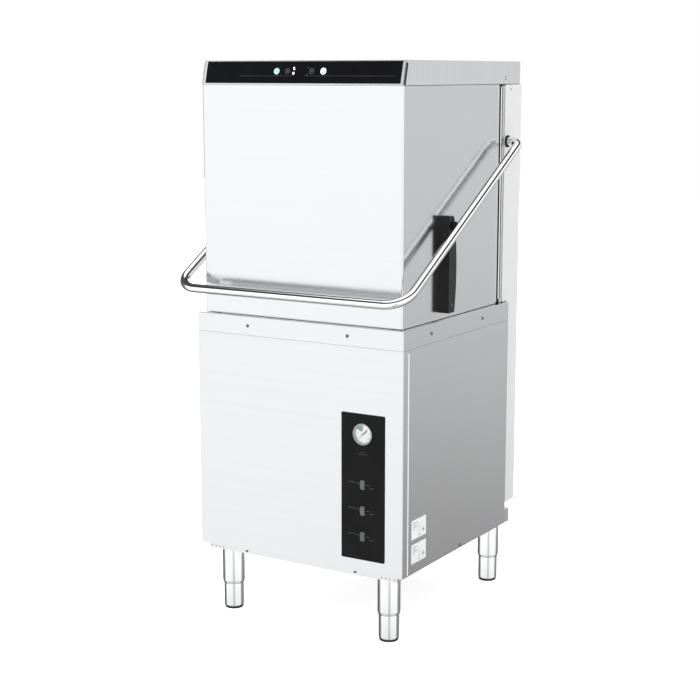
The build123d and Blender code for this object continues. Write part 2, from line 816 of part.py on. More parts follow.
# ==== handle, its bushes, the spring levers and the lift springs ==================
arm_run = pivot_y + handle_front
arm_rise = pivot_z - handle_height
arm_angle = atan2(arm_rise, arm_run)
arm_reach = (arm_run**2 + arm_rise**2) ** 0.5
handle_plane = Plane(
    origin=(0, *pivot),
    x_dir=(1, 0, 0),
    z_dir=(0, -sin(arm_angle), cos(arm_angle)),
)
with BuildPart() as handle_tube:
    with BuildLine(handle_plane):
        FilletPolyline(
            (-stub_inner, 0),
            (-arm_offset, 0),
            (-arm_offset, -arm_reach),
            (arm_offset, -arm_reach),
            (arm_offset, 0),
            (stub_inner, 0),
            radius=[bend_radius, corner_radius, corner_radius, bend_radius],
        )
    with BuildSketch(Plane.YZ.offset(-stub_inner)):
        with Locations(pivot):
            Circle(tube_radius)
    sweep()
save(handle_tube, "handle_tube")

bush_flange = 3
bush_inner = half_column - 12
with BuildPart() as handle_bushes:
    for sign in (-1, 1):
        x = sorted((sign * half_column, sign * (half_column + bush_flange)))[0]
        rod((x, *pivot), bush_flange_radius, bush_flange, "X")
        x = sorted((sign * half_column, sign * bush_inner))[0]
        rod((x, *pivot), bush_barrel_radius, half_column - bush_inner, "X")
    rod((-half_cabinet, *pivot), tube_radius + bush_bore_clearance, cabinet_width, "X", Mode.SUBTRACT)
save(handle_bushes, "handle_bushes")

lever_reach = 62
lever_thick = 8
lever_hub = tube_radius + 8
lever_hub_end = half_column - 23
pin_radius = 4
lever_tip = 9.6
lever_pin = (pivot[0] + lever_reach * cos(arm_angle), pivot[1] + lever_reach * sin(arm_angle))
with BuildPart() as spring_levers:
    for sign in (-1, 1):
        with BuildSketch(Plane.YZ.offset(sign * stub_inner)):
            with BuildLine():
                CenterArc(pivot, lever_hub, degrees(arm_angle) + 90, 180)
                CenterArc(lever_pin, lever_tip, degrees(arm_angle) - 90, 180)
                for edge_side in (1, -1):
                    hub_across = edge_side * lever_hub
                    tip_across = edge_side * lever_tip
                    Line(
                        (pivot[0] - hub_across * sin(arm_angle), pivot[1] + hub_across * cos(arm_angle)),
                        (
                            lever_pin[0] - tip_across * sin(arm_angle),
                            lever_pin[1] + tip_across * cos(arm_angle),
                        ),
                    )
            make_face()
        extrude(amount=sign * lever_thick)
        hub_x = sorted((sign * stub_inner, sign * lever_hub_end))[0]
        rod((hub_x, *pivot), lever_hub, lever_hub_end - stub_inner, "X")
        pin_x = sorted((sign * stub_inner, sign * pin_end))[0]
        rod((pin_x, *lever_pin), pin_radius, pin_end - stub_inner, "X")
    rod((-half_cabinet, *pivot), tube_radius, cabinet_width, "X", Mode.SUBTRACT)
save(spring_levers, "spring_levers")

spring_x = half_column - 27
spring_radius = 10.5
spring_wire = 2.5
spring_y = pivot[0] + lever_reach * (1 + cos(arm_angle)) / 2
spring_length = lever_pin[1] - pin_radius - 3 * clearance - anchor_top
with BuildPart() as lift_springs:
    for x in both(spring_x):
        rod((x, spring_y, anchor_top), spring_radius, spring_length)
        rod((x, spring_y, anchor_top), spring_radius - spring_wire, spring_length, mode=Mode.SUBTRACT)
save(lift_springs, "lift_springs")

# ==== hood: shell, cap, fascia, display board and buttons =========================
hood_y = (front + hood_front, front + hood_rear)
hood_flange = 8
with BuildPart() as hood_shell:
    block(both(half_hood), hood_y, (hood_bottom, hood_top))
    fillet(hood_shell.edges().filter_by(Axis.Z), hood_corner)
    with BuildSketch(Plane.XY.offset(hood_bottom + hood_sheet)):
        with Locations((0, sum(hood_y) / 2)):
            RectangleRounded(
                hood_width - 2 * hood_sheet,
                hood_rear - hood_front - 2 * hood_sheet,
                hood_corner - hood_sheet,
            )
    extrude(amount=hood_top - hood_bottom - 2 * hood_sheet, mode=Mode.SUBTRACT)
    block(
        both(half_hood - hood_flange),
        (hood_y[0] + hood_flange, hood_y[1] - hood_flange),
        (hood_bottom, hood_bottom + hood_sheet),
        Mode.SUBTRACT,
    )
    block(
        both(duct_width / 2 + 3 * duct_gap),
        (duct_slot[0], hood_y[1] - hood_sheet),
        (hood_bottom, hood_bottom + hood_sheet),
        Mode.SUBTRACT,
    )
save(hood_shell, "hood_shell")

lean = atan2(cap_lean, cap_top - hood_top)
fascia_plane = Plane(
    origin=(0, hood_y[0] + cap_lean / 2, (hood_top + cap_top) / 2),
    x_dir=(1, 0, 0),
    z_dir=(0, -cos(lean), sin(lean)),
)
fascia_lift = 1.5
fascia_gap = 0.3
fascia_proud = 0.6
cap_back = front + cap_rear
with BuildPart() as hood_cap:
    with BuildSketch(Plane.YZ.offset(-half_hood)):
        with BuildLine():
            Polyline(
                (hood_y[0], hood_top),
                (hood_y[0] + cap_lean, cap_top),
                (cap_back, cap_top),
                (cap_back, hood_top),
                close=True,
            )
        make_face()
    extrude(amount=hood_width)
    fillet(hood_cap.faces().sort_by(Axis.Z)[-1].edges(), cap_sheet)
    with BuildSketch(Plane.YZ.offset(-half_hood + cap_sheet)):
        with BuildLine():
            Polyline(
                (hood_y[0] + cap_sheet, hood_top),
                (hood_y[0] + cap_lean + cap_sheet, cap_top - cap_sheet),
                (cap_back - cap_sheet, cap_top - cap_sheet),
                (cap_back - cap_sheet, hood_top),
                close=True,
            )
        make_face()
    extrude(amount=hood_width - 2 * cap_sheet, mode=Mode.SUBTRACT)
    block(both(half_hood - cap_sheet), (hood_y[1], cap_back - cap_sheet), (hood_top, hood_top + cap_sheet))
    with BuildSketch(Plane.XY.offset(hood_top)):
        with Locations((0, (hood_y[0] + cap_back) / 2)):
            Rectangle(hood_width + 2 * cap_sheet, cap_back - hood_y[0] + 2 * cap_sheet)
            Rectangle(hood_width - cap_sheet, cap_back - hood_y[0] - cap_sheet, mode=Mode.SUBTRACT)
    extrude(amount=hood_seam, mode=Mode.SUBTRACT)
    with BuildSketch(fascia_plane.offset(cap_sheet)):
        with Locations((0, fascia_lift)):
            Rectangle(fascia_width, fascia_height)
    extrude(amount=-4 * cap_sheet, mode=Mode.SUBTRACT)
save(hood_cap, "hood_cap")

button_height = fascia_lift + 2.6
button_proud = 0.8
button_depth = 2.6
button_gap = 0.3
button_edge = 0.5
fascia_buttons = (
    ("start_button", -73, 8.5),
    ("drain_button", -39, 7.5),
    ("cycle_button", 33.5, 8),
    ("power_button", 68, 8.5),
)
with BuildPart() as control_fascia:
    with BuildSketch(fascia_plane.offset(fascia_proud)):
        with Locations((0, fascia_lift)):
            Rectangle(fascia_width - 2 * fascia_gap, fascia_height - 2 * fascia_gap)
            for name, x, radius in fascia_buttons:
                with Locations((x, button_height - fascia_lift)):
                    Circle(radius + button_gap, mode=Mode.SUBTRACT)
    extrude(amount=-fascia_thick - fascia_proud)
save(control_fascia, "control_fascia")

for name, x, radius in fascia_buttons:
    with BuildPart() as button:
        with BuildSketch(fascia_plane.offset(fascia_proud + button_proud)):
            with Locations((x, button_height)):
                Circle(radius)
        extrude(amount=-button_proud - fascia_proud - button_depth)
        fillet(button.edges().filter_by(GeomType.CIRCLE).sort_by(Axis.Y)[0], button_edge)
    save(button, name)

board_gap = 5.2
board_thick = 1.6
board_size = (300, 44)
board_post = 3
with BuildPart() as display_board:
    with BuildSketch(fascia_plane.offset(-board_gap)):
        Rectangle(*board_size)
    extrude(amount=-board_thick)
    with BuildSketch(fascia_plane.offset(-fascia_thick)):
        with GridLocations(board_size[0] - 5 * board_post, board_size[1] - 3 * board_post, 2, 2):
            Circle(board_post)
    extrude(amount=fascia_thick - board_gap)
save(display_board, "display_board")

# ==== lift brackets, rollers and guide blocks on the hood =========================
bracket_front = front + 218
bracket_low = hood_bottom + 16.5
bracket_high = bracket_low + 252
bracket_stand = 25
bracket_wall = 3
bracket_top_depth = 27
bracket_belly_depth = 41
bracket_foot_depth = 31
bracket_cut = 7
for name, sign in sides:
    with BuildPart() as bracket:
        with BuildSketch(Plane.YZ.offset(sign * half_hood)):
            with BuildLine():
                top_corner = (bracket_front + bracket_top_depth, bracket_high - bracket_cut)
                low_corner = (bracket_front + bracket_foot_depth, bracket_low)
                belly = (bracket_front + bracket_belly_depth, (bracket_low + bracket_high) / 2)
                Polyline(
                    low_corner,
                    (bracket_front, bracket_low),
                    (bracket_front, bracket_high),
                    (bracket_front + bracket_top_depth - bracket_cut, bracket_high),
                    top_corner,
                )
                ThreePointArc(top_corner, belly, low_corner)
            make_face()
        extrude(amount=sign * bracket_stand)
        pocket_far = half_hood + bracket_stand - bracket_wall
        block(
            (sign * (half_hood + bracket_wall), sign * pocket_far),
            (bracket_front + bracket_wall, bracket_front + 2 * bracket_belly_depth),
            (bracket_low + bracket_wall, bracket_high - bracket_wall),
            Mode.SUBTRACT,
        )
    save(bracket, f"lift_bracket_{name}")

roller_radius = 11
roller_y = bracket_front + bracket_top_depth - 2
roller_z = pivot_z - (pivot[0] - roller_y) * tan(arm_angle)
roller_gap = 0.5
roller_start = half_hood + bracket_stand
roller_length = arm_offset - tube_radius - roller_gap - roller_start
with BuildPart() as lift_rollers:
    for x in (roller_start, -roller_start - roller_length):
        rod((x, roller_y, roller_z), roller_radius, roller_length, "X")
save(lift_rollers, "lift_rollers")

glide_wide = rail_width - 2 * rail_wall - 2
glide_arm = rail_mouth - 4
with BuildPart() as hood_glides:
    for x in both(rail_x):
        glide_z = (glide_bottom, glide_bottom + glide_height)
        glide_y = (rail_y[0] + rail_wall + 1, rail_y[1] - rail_wall - 1)
        block((x - glide_wide / 2, x + glide_wide / 2), glide_y, glide_z)
        block((x - glide_arm / 2, x + glide_arm / 2), (hood_y[1], glide_y[0]), glide_z)
save(hood_glides, "hood_glides")

bracket_screw = 4.5
bracket_screw_head = 1.5
bracket_screw_y = bracket_front + 17
cap_screw = 2.2
cap_screw_y = back - 15
with BuildPart() as hood_screws:
    for z in (bracket_low + 20, bracket_high - 62):
        for x in (roller_start, -roller_start - bracket_screw_head):
            rod((x, bracket_screw_y, z), bracket_screw, bracket_screw_head, "X")
    for z in (hood_top + 13, hood_top + 20):
        for x in (half_hood, -half_hood - 1):
            rod((x, cap_screw_y, z), cap_screw, 1, "X")
save(hood_screws, "hood_screws")
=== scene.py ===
import math
import bpy
import bmesh
from mathutils import Matrix, Vector


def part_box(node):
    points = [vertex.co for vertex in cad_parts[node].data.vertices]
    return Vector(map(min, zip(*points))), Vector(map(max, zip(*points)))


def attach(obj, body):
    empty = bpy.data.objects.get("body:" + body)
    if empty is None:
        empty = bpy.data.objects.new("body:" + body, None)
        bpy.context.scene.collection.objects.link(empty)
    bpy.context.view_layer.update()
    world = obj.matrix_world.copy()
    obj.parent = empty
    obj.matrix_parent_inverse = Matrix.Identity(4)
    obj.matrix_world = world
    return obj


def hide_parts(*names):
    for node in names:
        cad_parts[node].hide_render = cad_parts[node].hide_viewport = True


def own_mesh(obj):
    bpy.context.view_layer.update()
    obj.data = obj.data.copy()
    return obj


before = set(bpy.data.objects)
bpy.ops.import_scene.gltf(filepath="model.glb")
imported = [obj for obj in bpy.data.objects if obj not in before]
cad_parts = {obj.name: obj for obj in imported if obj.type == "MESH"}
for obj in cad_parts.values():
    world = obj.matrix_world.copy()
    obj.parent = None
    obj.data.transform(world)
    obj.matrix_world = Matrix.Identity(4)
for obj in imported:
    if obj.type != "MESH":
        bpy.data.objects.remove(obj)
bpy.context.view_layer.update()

MM = 0.001
X_AXIS = Vector((1, 0, 0))
Y_AXIS = Vector((0, 1, 0))
Z_AXIS = Vector((0, 0, 1))


# ---- finishes ---------------------------------------------------------------------
def start_finish(name):
    """A new material with its node tree, its shader and an object-space coordinate."""
    material = bpy.data.materials.new(name)
    material.use_nodes = True
    tree = material.node_tree
    shader = next(n for n in tree.nodes if n.type == "BSDF_PRINCIPLED")
    coordinate = tree.nodes.new("ShaderNodeTexCoord").outputs["Object"]
    return material, tree, shader, coordinate


def noise(tree, coordinate, stretch, scale, detail=2.0):
    """Noise whose pattern is stretched along the axes with the smaller numbers."""
    mapping = tree.nodes.new("ShaderNodeMapping")
    mapping.inputs["Scale"].default_value = stretch
    tree.links.new(coordinate, mapping.inputs["Vector"])
    texture = tree.nodes.new("ShaderNodeTexNoise")
    texture.inputs["Scale"].default_value = scale
    texture.inputs["Detail"].default_value = detail
    tree.links.new(mapping.outputs["Vector"], texture.inputs["Vector"])
    return texture.outputs["Fac"]


def ramp_colour(tree, fac, dark, light, low=0.3, high=0.7):
    """A colour that runs from dark to light with fac."""
    ramp = tree.nodes.new("ShaderNodeValToRGB")
    ramp.color_ramp.elements[0].position = low
    ramp.color_ramp.elements[0].color = (*dark, 1)
    ramp.color_ramp.elements[1].position = high
    ramp.color_ramp.elements[1].color = (*light, 1)
    tree.links.new(fac, ramp.inputs["Fac"])
    return ramp.outputs["Color"]


def ramp_value(tree, fac, low, high):
    """A number that runs from low to high as fac goes through its middle range."""
    span = tree.nodes.new("ShaderNodeMapRange")
    span.inputs["From Min"].default_value = 0.3
    span.inputs["From Max"].default_value = 0.7
    span.inputs["To Min"].default_value = low
    span.inputs["To Max"].default_value = high
    tree.links.new(fac, span.inputs["Value"])
    return span.outputs["Result"]


def bump(tree, shader, height, strength, distance):
    """Fine relief from a height pattern."""
    node = tree.nodes.new("ShaderNodeBump")
    node.inputs["Strength"].default_value = strength
    node.inputs["Distance"].default_value = distance
    tree.links.new(height, node.inputs["Height"])
    tree.links.new(node.outputs["Normal"], shader.inputs["Normal"])


def average(tree, first, second):
    """The mean of two patterns."""
    node = tree.nodes.new("ShaderNodeMath")
    node.operation = "ADD"
    tree.links.new(first, node.inputs[0])
    tree.links.new(second, node.inputs[1])
    half = tree.nodes.new("ShaderNodeMath")
    half.operation = "MULTIPLY"
    half.inputs[1].default_value = 0.5
    tree.links.new(node.outputs[0], half.inputs[0])
    return half.outputs[0]


def brushed_steel(
    name, tone, rough, grain, contrast=0.02, turned=0.25, aniso=0.45, relief=0.02, metal=1.0,
):
    """Stainless sheet with a directional polish; grain is the stretch of its scratches."""
    material, tree, shader, coordinate = start_finish(name)
    scratches = noise(tree, coordinate, grain, 2.2, 4.0)
    streaks = noise(tree, coordinate, tuple(0.16 * g for g in grain), 1.3, 2.0)
    clouds = noise(tree, coordinate, (1, 1, 1), 2.6, 3.0)
    grainy = average(tree, scratches, streaks)
    dark = tuple(c * (1 - contrast) for c in tone)
    light = tuple(min(1, c * (1 + contrast)) for c in tone)
    shader.inputs["Metallic"].default_value = metal
    tree.links.new(ramp_colour(tree, grainy, dark, light), shader.inputs["Base Color"])
    mixed = average(tree, grainy, clouds)
    tree.links.new(ramp_value(tree, mixed, rough * 0.82, rough * 1.18), shader.inputs["Roughness"])
    shader.inputs["Anisotropic"].default_value = aniso
    shader.inputs["Anisotropic Rotation"].default_value = turned
    bump(tree, shader, grainy, relief, 0.0001)
    return material


def polished_steel(name, tone, rough):
    """Bright steel with faint swirls and wipe marks."""
    material, tree, shader, coordinate = start_finish(name)
    wipes = noise(tree, coordinate, (9, 9, 22), 4.0, 4.0)
    fine = noise(tree, coordinate, (60, 60, 60), 12.0, 3.0)
    shader.inputs["Metallic"].default_value = 1.0
    light = tuple(min(1, c * 1.03) for c in tone)
    tree.links.new(ramp_colour(tree, wipes, tone, light), shader.inputs["Base Color"])
    tree.links.new(ramp_value(tree, fine, rough * 0.7, rough * 1.5), shader.inputs["Roughness"])
    bump(tree, shader, fine, 0.02, 0.0001)
    return material


def moulded(name, dark, light, rough, grain_scale=900.0, relief=0.12, shine=0.5):
    """Moulded or coated polymer with a fine grain and slight shade changes."""
    material, tree, shader, coordinate = start_finish(name)
    grain = noise(tree, coordinate, (1, 1, 1), grain_scale, 3.0)
    clouds = noise(tree, coordinate, (1, 1, 1), 14.0, 3.0)
    tree.links.new(ramp_colour(tree, clouds, dark, light), shader.inputs["Base Color"])
    tree.links.new(ramp_value(tree, grain, rough * 0.85, rough * 1.15), shader.inputs["Roughness"])
    shader.inputs["Specular IOR Level"].default_value = shine
    bump(tree, shader, grain, relief, 0.0003)
    return material


def lamp_face(name, dark, light, glow):
    """A lit touch button: a translucent face with light behind it."""
    material = moulded(name, dark, light, 0.25, 600.0, 0.01, 0.3)
    shader = next(n for n in material.node_tree.nodes if n.type == "BSDF_PRINCIPLED")
    shader.inputs["Emission Color"].default_value = (*light, 1)
    shader.inputs["Emission Strength"].default_value = glow
    return material


def clear_glass(name):
    """Thin clear lens with a slightly uneven surface."""
    material, tree, shader, coordinate = start_finish(name)
    ripple = noise(tree, coordinate, (1, 1, 1), 60.0, 2.0)
    shader.inputs["Transmission Weight"].default_value = 1.0
    shader.inputs["IOR"].default_value = 1.46
    tree.links.new(ramp_colour(tree, ripple, (0.97, 0.98, 0.98), (1, 1, 1)), shader.inputs["Base Color"])
    tree.links.new(ramp_value(tree, ripple, 0.0, 0.03), shader.inputs["Roughness"])
    return material


# Scratches that run level, and scratches that run up and down
ACROSS = (3.0, 3.0, 420.0)
UPRIGHT = (420.0, 420.0, 3.0)

hood_steel = brushed_steel("brushed_hood_steel", (0.70, 0.705, 0.715), 0.17, ACROSS, 0.015)
cap_steel = brushed_steel("brushed_cap_steel", (0.76, 0.765, 0.775), 0.20, UPRIGHT, 0.03)
cabinet_steel = brushed_steel("brushed_cabinet_steel", (0.70, 0.705, 0.715), 0.22, ACROSS, 0.02)
column_steel = brushed_steel(
    "satin_column_steel", (0.80, 0.805, 0.81), 0.42, UPRIGHT, 0.015, 0.25, 0.3, 0.01, 0.68,
)
mill_steel = brushed_steel("mill_finish_steel", (0.74, 0.745, 0.75), 0.34, ACROSS, 0.04)
inner_steel = brushed_steel("pressed_tank_steel", (0.72, 0.725, 0.73), 0.22, ACROSS, 0.04)
tube_chrome = polished_steel("polished_handle_steel", (0.93, 0.935, 0.94), 0.07)
leg_steel = brushed_steel(
    "satin_leg_steel", (0.86, 0.865, 0.87), 0.16, (3.0, 3.0, 900.0), 0.02, 0.0, 0.0, 0.002,
)
# A lighter, smoother copy of the sheet steel for folded edges: partly the real fold, partly a painted
# highlight along it.
hem_steel_painted_highlight = polished_steel("folded_hem_steel", (0.90, 0.905, 0.91), 0.2)
screw_steel = polished_steel("turned_screw_steel", (0.26, 0.265, 0.27), 0.25)
spring_steel = polished_steel("oiled_spring_steel", (0.30, 0.30, 0.31), 0.32)
gloss_black = moulded(
    "gloss_black_fascia", (0.0035, 0.0037, 0.0045), (0.005, 0.0052, 0.006), 0.16, 300.0, 0.01, 0.03,
)
panel_black = moulded(
    "satin_black_plate", (0.0065, 0.0067, 0.0070), (0.0085, 0.0087, 0.009), 0.30, 700.0, 0.02, 0.04,
)
bracket_black = moulded(
    "powder_black_bracket", (0.003, 0.003, 0.0032), (0.006, 0.006, 0.0065), 0.30, 500.0, 0.06, 0.25,
)
painted_seam_shadow = moulded("seam_shadow", (0.035, 0.035, 0.036), (0.05, 0.05, 0.052), 0.6, 400.0, 0.05, 0.1)
rubber_black = moulded("black_rubber", (0.008, 0.008, 0.008), (0.014, 0.014, 0.014), 0.62, 420.0, 0.2, 0.2)
rocker_grey = moulded("rocker_grey", (0.070, 0.072, 0.075), (0.092, 0.094, 0.098), 0.42, 700.0, 0.05, 0.2)
button_dark = moulded("button_smoke", (0.012, 0.012, 0.013), (0.018, 0.018, 0.019), 0.18, 400.0, 0.01, 0.1)
button_white = lamp_face("button_lit_white", (0.70, 0.71, 0.72), (0.80, 0.81, 0.82), 0.12)
teal_ink = moulded("teal_ink", (0.01, 0.30, 0.22), (0.02, 0.38, 0.28), 0.4, 500.0, 0.02, 0.2)
white_ink = lamp_face("white_ink", (0.80, 0.81, 0.82), (0.92, 0.93, 0.94), 0.3)
grey_ink = moulded("grey_ink", (0.075, 0.078, 0.082), (0.105, 0.108, 0.112), 0.5, 500.0, 0.02, 0.2)
dark_ink = moulded("dark_ink", (0.018, 0.018, 0.020), (0.030, 0.030, 0.032), 0.5, 500.0, 0.02, 0.2)
dim_ink = moulded("dim_ink", (0.035, 0.036, 0.038), (0.048, 0.049, 0.052), 0.5, 500.0, 0.02, 0.2)
amber_ink = moulded("amber_ink", (0.030, 0.019, 0.013), (0.042, 0.026, 0.018), 0.5, 500.0, 0.02, 0.2)
red_ink = moulded("red_ink", (0.45, 0.03, 0.03), (0.60, 0.05, 0.05), 0.5, 500.0, 0.02, 0.2)
dial_green = moulded("dial_green", (0.16, 0.30, 0.24), (0.20, 0.36, 0.29), 0.5, 500.0, 0.02, 0.2)
bezel_steel = polished_steel("gauge_bezel_steel", (0.36, 0.365, 0.37), 0.3)
dial_white = moulded("dial_white", (0.84, 0.85, 0.85), (0.90, 0.91, 0.91), 0.4, 500.0, 0.02, 0.3)
label_white = moulded("label_film", (0.52, 0.523, 0.527), (0.57, 0.573, 0.577), 0.45, 500.0, 0.01, 0.15)
white_polymer = moulded("slide_polymer", (0.72, 0.72, 0.69), (0.82, 0.82, 0.79), 0.45, 500.0, 0.08)
board_green = moulded("circuit_board_green", (0.01, 0.09, 0.04), (0.02, 0.14, 0.06), 0.4, 200.0, 0.1)
motor_paint = moulded("motor_paint", (0.10, 0.12, 0.15), (0.14, 0.16, 0.20), 0.35, 260.0, 0.15)
housing_grey = moulded("grey_housing", (0.16, 0.165, 0.17), (0.22, 0.225, 0.23), 0.5, 500.0, 0.12)
brass = polished_steel("machined_brass", (0.70, 0.52, 0.22), 0.2)
lens_glass = clear_glass("clear_lens_glass")

node_finishes = {
    hood_steel: ("hood_shell",),
    cap_steel: ("hood_cap",),
    cabinet_steel: ("rim_frame", "front_panel", "side_panel_left", "side_panel_right"),
    column_steel: ("column_cover",),
    mill_steel: (
        "base_frame", "rear_panel", "column_face", "column_frame", "guide_rails", "spring_levers",
        "booster_tank",
    ),
    inner_steel: (
        "wash_tank", "tank_strainer", "rack_tracks", "spray_pipework", "overflow_pipe",
        "wash_arm_lower", "rinse_arm_lower", "wash_arm_upper", "rinse_arm_upper",
    ),
    tube_chrome: ("handle_tube", "tank_heater"),
    bezel_steel: ("gauge_case",),
    leg_steel: ("leg_tubes", "foot_front_left", "foot_front_right", "foot_rear_left", "foot_rear_right"),
    gloss_black: ("control_fascia",),
    panel_black: ("control_panel",),
    bracket_black: ("lift_bracket_left", "lift_bracket_right", "wash_pump", "cable_gland", "drain_outlet"),
    rubber_black: ("lift_rollers", "handle_bushes"),
    rocker_grey: ("prime_switch_upper", "prime_switch_middle", "prime_switch_lower"),
    button_dark: ("drain_button", "cycle_button"),
    button_white: ("start_button", "power_button"),
    screw_steel: ("cabinet_screws", "hood_screws"),
    spring_steel: ("lift_springs",),
    dial_white: ("gauge_dial",),
    dark_ink: ("gauge_needle",),
    lens_glass: ("gauge_lens",),
    label_white: ("rating_plates",),
    white_polymer: ("hood_glides",),
    board_green: ("display_board",),
    motor_paint: ("pump_motor",),
    housing_grey: ("control_box", "dosing_pumps"),
    brass: ("water_inlet",),
}
for finish, names in node_finishes.items():
    for name in names:
        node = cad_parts[name]
        if not node.material_slots:
            node.data.materials.append(finish)
        for material_slot in node.material_slots:
            material_slot.material = finish


# ---- making pieces ----------------------------------------------------------------
def finish_piece(mesh, name, material, body, smooth=True, bevel=0.0):
    """Makes a bmesh a piece that rides on its body; its place stays in its mesh."""
    bmesh.ops.remove_doubles(mesh, verts=mesh.verts, dist=0.000001)
    bmesh.ops.recalc_face_normals(mesh, faces=mesh.faces)
    data = bpy.data.meshes.new(name)
    mesh.to_mesh(data)
    mesh.free()
    piece = bpy.data.objects.new(name, data)
    bpy.context.scene.collection.objects.link(piece)
    data.materials.append(material)
    if smooth:
        data.shade_smooth()
        data.set_sharp_from_angle(angle=math.radians(32))
    if bevel:
        edge = piece.modifiers.new("edge", "BEVEL")
        edge.width = bevel
        edge.segments = 3
        edge.limit_method = "ANGLE"
        edge.harden_normals = True
    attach(piece, body)
    return piece


def spun(mesh, profile, centre, axis, steps=64):
    """Spins a profile of (radius, height) points once round an axis."""
    axis = Vector(axis)
    side = axis.orthogonal().normalized()
    verts = [mesh.verts.new(Vector(centre) + side * r + axis * h) for r, h in profile]
    edges = [mesh.edges.new(pair) for pair in zip(verts, verts[1:])]
    bmesh.ops.spin(
        mesh, geom=verts + edges, cent=centre, axis=axis, angle=math.tau, steps=steps, use_merge=True,
    )


def box(mesh, low, high):
    """A box between two corners."""
    size = [b - a for a, b in zip(low, high)]
    middle = [(a + b) / 2 for a, b in zip(low, high)]
    place = Matrix.Translation(middle) @ Matrix.Diagonal((*size, 1))
    return bmesh.ops.create_cube(mesh, size=1, matrix=place)["verts"]


def bar_on(mesh, place, centre, size, thick):
    """A thin printed bar, on a plane whose matrix is place, at centre, of that size."""
    scaled = place @ Matrix.Translation((*centre, thick / 2)) @ Matrix.Diagonal((*size, thick, 1))
    return bmesh.ops.create_cube(mesh, size=1, matrix=scaled)["verts"]


def disc_on(mesh, place, centre, radius, thick, segments=40):
    """A thin printed disc on that plane."""
    spot = place @ Matrix.Translation((*centre, thick / 2))
    bmesh.ops.create_cone(
        mesh, cap_ends=True, segments=segments, radius1=radius, radius2=radius, depth=thick, matrix=spot,
    )


def ring_on(mesh, place, centre, outer, inner, thick, start=0.0, turn=math.tau, steps=48):
    """A thin printed ring or part of one, spun from a rectangle."""
    middle = place @ Vector((*centre, 0))
    normal = (place.to_3x3() @ Z_AXIS).normalized()
    spoke = place.to_3x3() @ Vector((math.cos(start), math.sin(start), 0))
    corners = [(inner, 0), (outer, 0), (outer, thick), (inner, thick)]
    verts = [mesh.verts.new(middle + spoke * r + normal * h) for r, h in corners]
    face = mesh.faces.new(verts)
    whole = turn >= math.tau - 0.001
    if whole:
        edges = list(face.edges)
        mesh.faces.remove(face)
        bmesh.ops.spin(
            mesh, geom=verts + edges, cent=middle, axis=normal, angle=math.tau, steps=steps, use_merge=True,
        )
    else:
        bmesh.ops.spin(
            mesh, geom=[face], cent=middle, axis=normal, angle=turn, steps=steps, use_duplicate=False,
        )


# ---- the lift handle: one tube bent four times --------------------------------------
tube_low, tube_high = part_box("handle_tube")
tube_radius = 12 * MM
pivot_y = 285 * MM
pivot_z = 1278.5 * MM
front_bar_z = 904 * MM
arm_offset = tube_high.x - tube_radius
pivot = Vector((0, pivot_y, pivot_z))
front_bar = Vector((0, tube_low.y + tube_radius, front_bar_z))
arm = (front_bar - pivot).normalized()
arm_reach = (front_bar - pivot).length
stub_inner = 262 * MM
small_bend = 28 * MM
large_bend = 60 * MM
SMALL_BEND_STEPS = 14
LARGE_BEND_STEPS = 22

handle = bmesh.new()
ring = bmesh.ops.create_circle(
    handle, cap_ends=True, segments=40, radius=tube_radius,
    matrix=Matrix.Translation(pivot - X_AXIS * stub_inner) @ Matrix.Rotation(math.radians(90), 4, "Y"),
)
open_edges = list({e for v in ring["verts"] for e in v.link_edges})


def run(edges, vector):
    """Carries the tube's open end straight on."""
    made = bmesh.ops.extrude_edge_only(handle, edges=edges)["geom"]
    verts = [g for g in made if isinstance(g, bmesh.types.BMVert)]
    bmesh.ops.translate(handle, verts=verts, vec=vector)
    return [
        g for g in made
        if isinstance(g, bmesh.types.BMEdge) and g.verts[0] in verts and g.verts[1] in verts
    ]


def turn(edges, centre, axis, steps):
    """Carries the tube's open end through a quarter turn."""
    made = bmesh.ops.spin(
        handle, geom=edges, cent=centre, axis=axis, angle=math.radians(90), steps=steps,
    )["geom_last"]
    return [g for g in made if isinstance(g, bmesh.types.BMEdge)]


bend_left = pivot - X_AXIS * (arm_offset - small_bend) + arm * small_bend
bend_right = pivot + X_AXIS * (arm_offset - small_bend) + arm * small_bend
corner_left = pivot - X_AXIS * (arm_offset - large_bend) + arm * (arm_reach - large_bend)
corner_right = pivot + X_AXIS * (arm_offset - large_bend) + arm * (arm_reach - large_bend)
open_edges = run(open_edges, -X_AXIS * (arm_offset - small_bend - stub_inner))
open_edges = turn(open_edges, bend_left, (-X_AXIS).cross(arm), SMALL_BEND_STEPS)
open_edges = run(open_edges, arm * (arm_reach - large_bend - small_bend))
open_edges = turn(open_edges, corner_left, arm.cross(X_AXIS), LARGE_BEND_STEPS)
open_edges = run(open_edges, X_AXIS * 2 * (arm_offset - large_bend))
open_edges = turn(open_edges, corner_right, X_AXIS.cross(-arm), LARGE_BEND_STEPS)
open_edges = run(open_edges, -arm * (arm_reach - large_bend - small_bend))
open_edges = turn(open_edges, bend_right, (-arm).cross(-X_AXIS), SMALL_BEND_STEPS)
open_edges = run(open_edges, -X_AXIS * (arm_offset - small_bend - stub_inner))
bmesh.ops.contextual_create(handle, geom=open_edges)
handle_piece = finish_piece(handle, "bent_handle_tube", tube_chrome, "handle")
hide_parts("handle_tube")


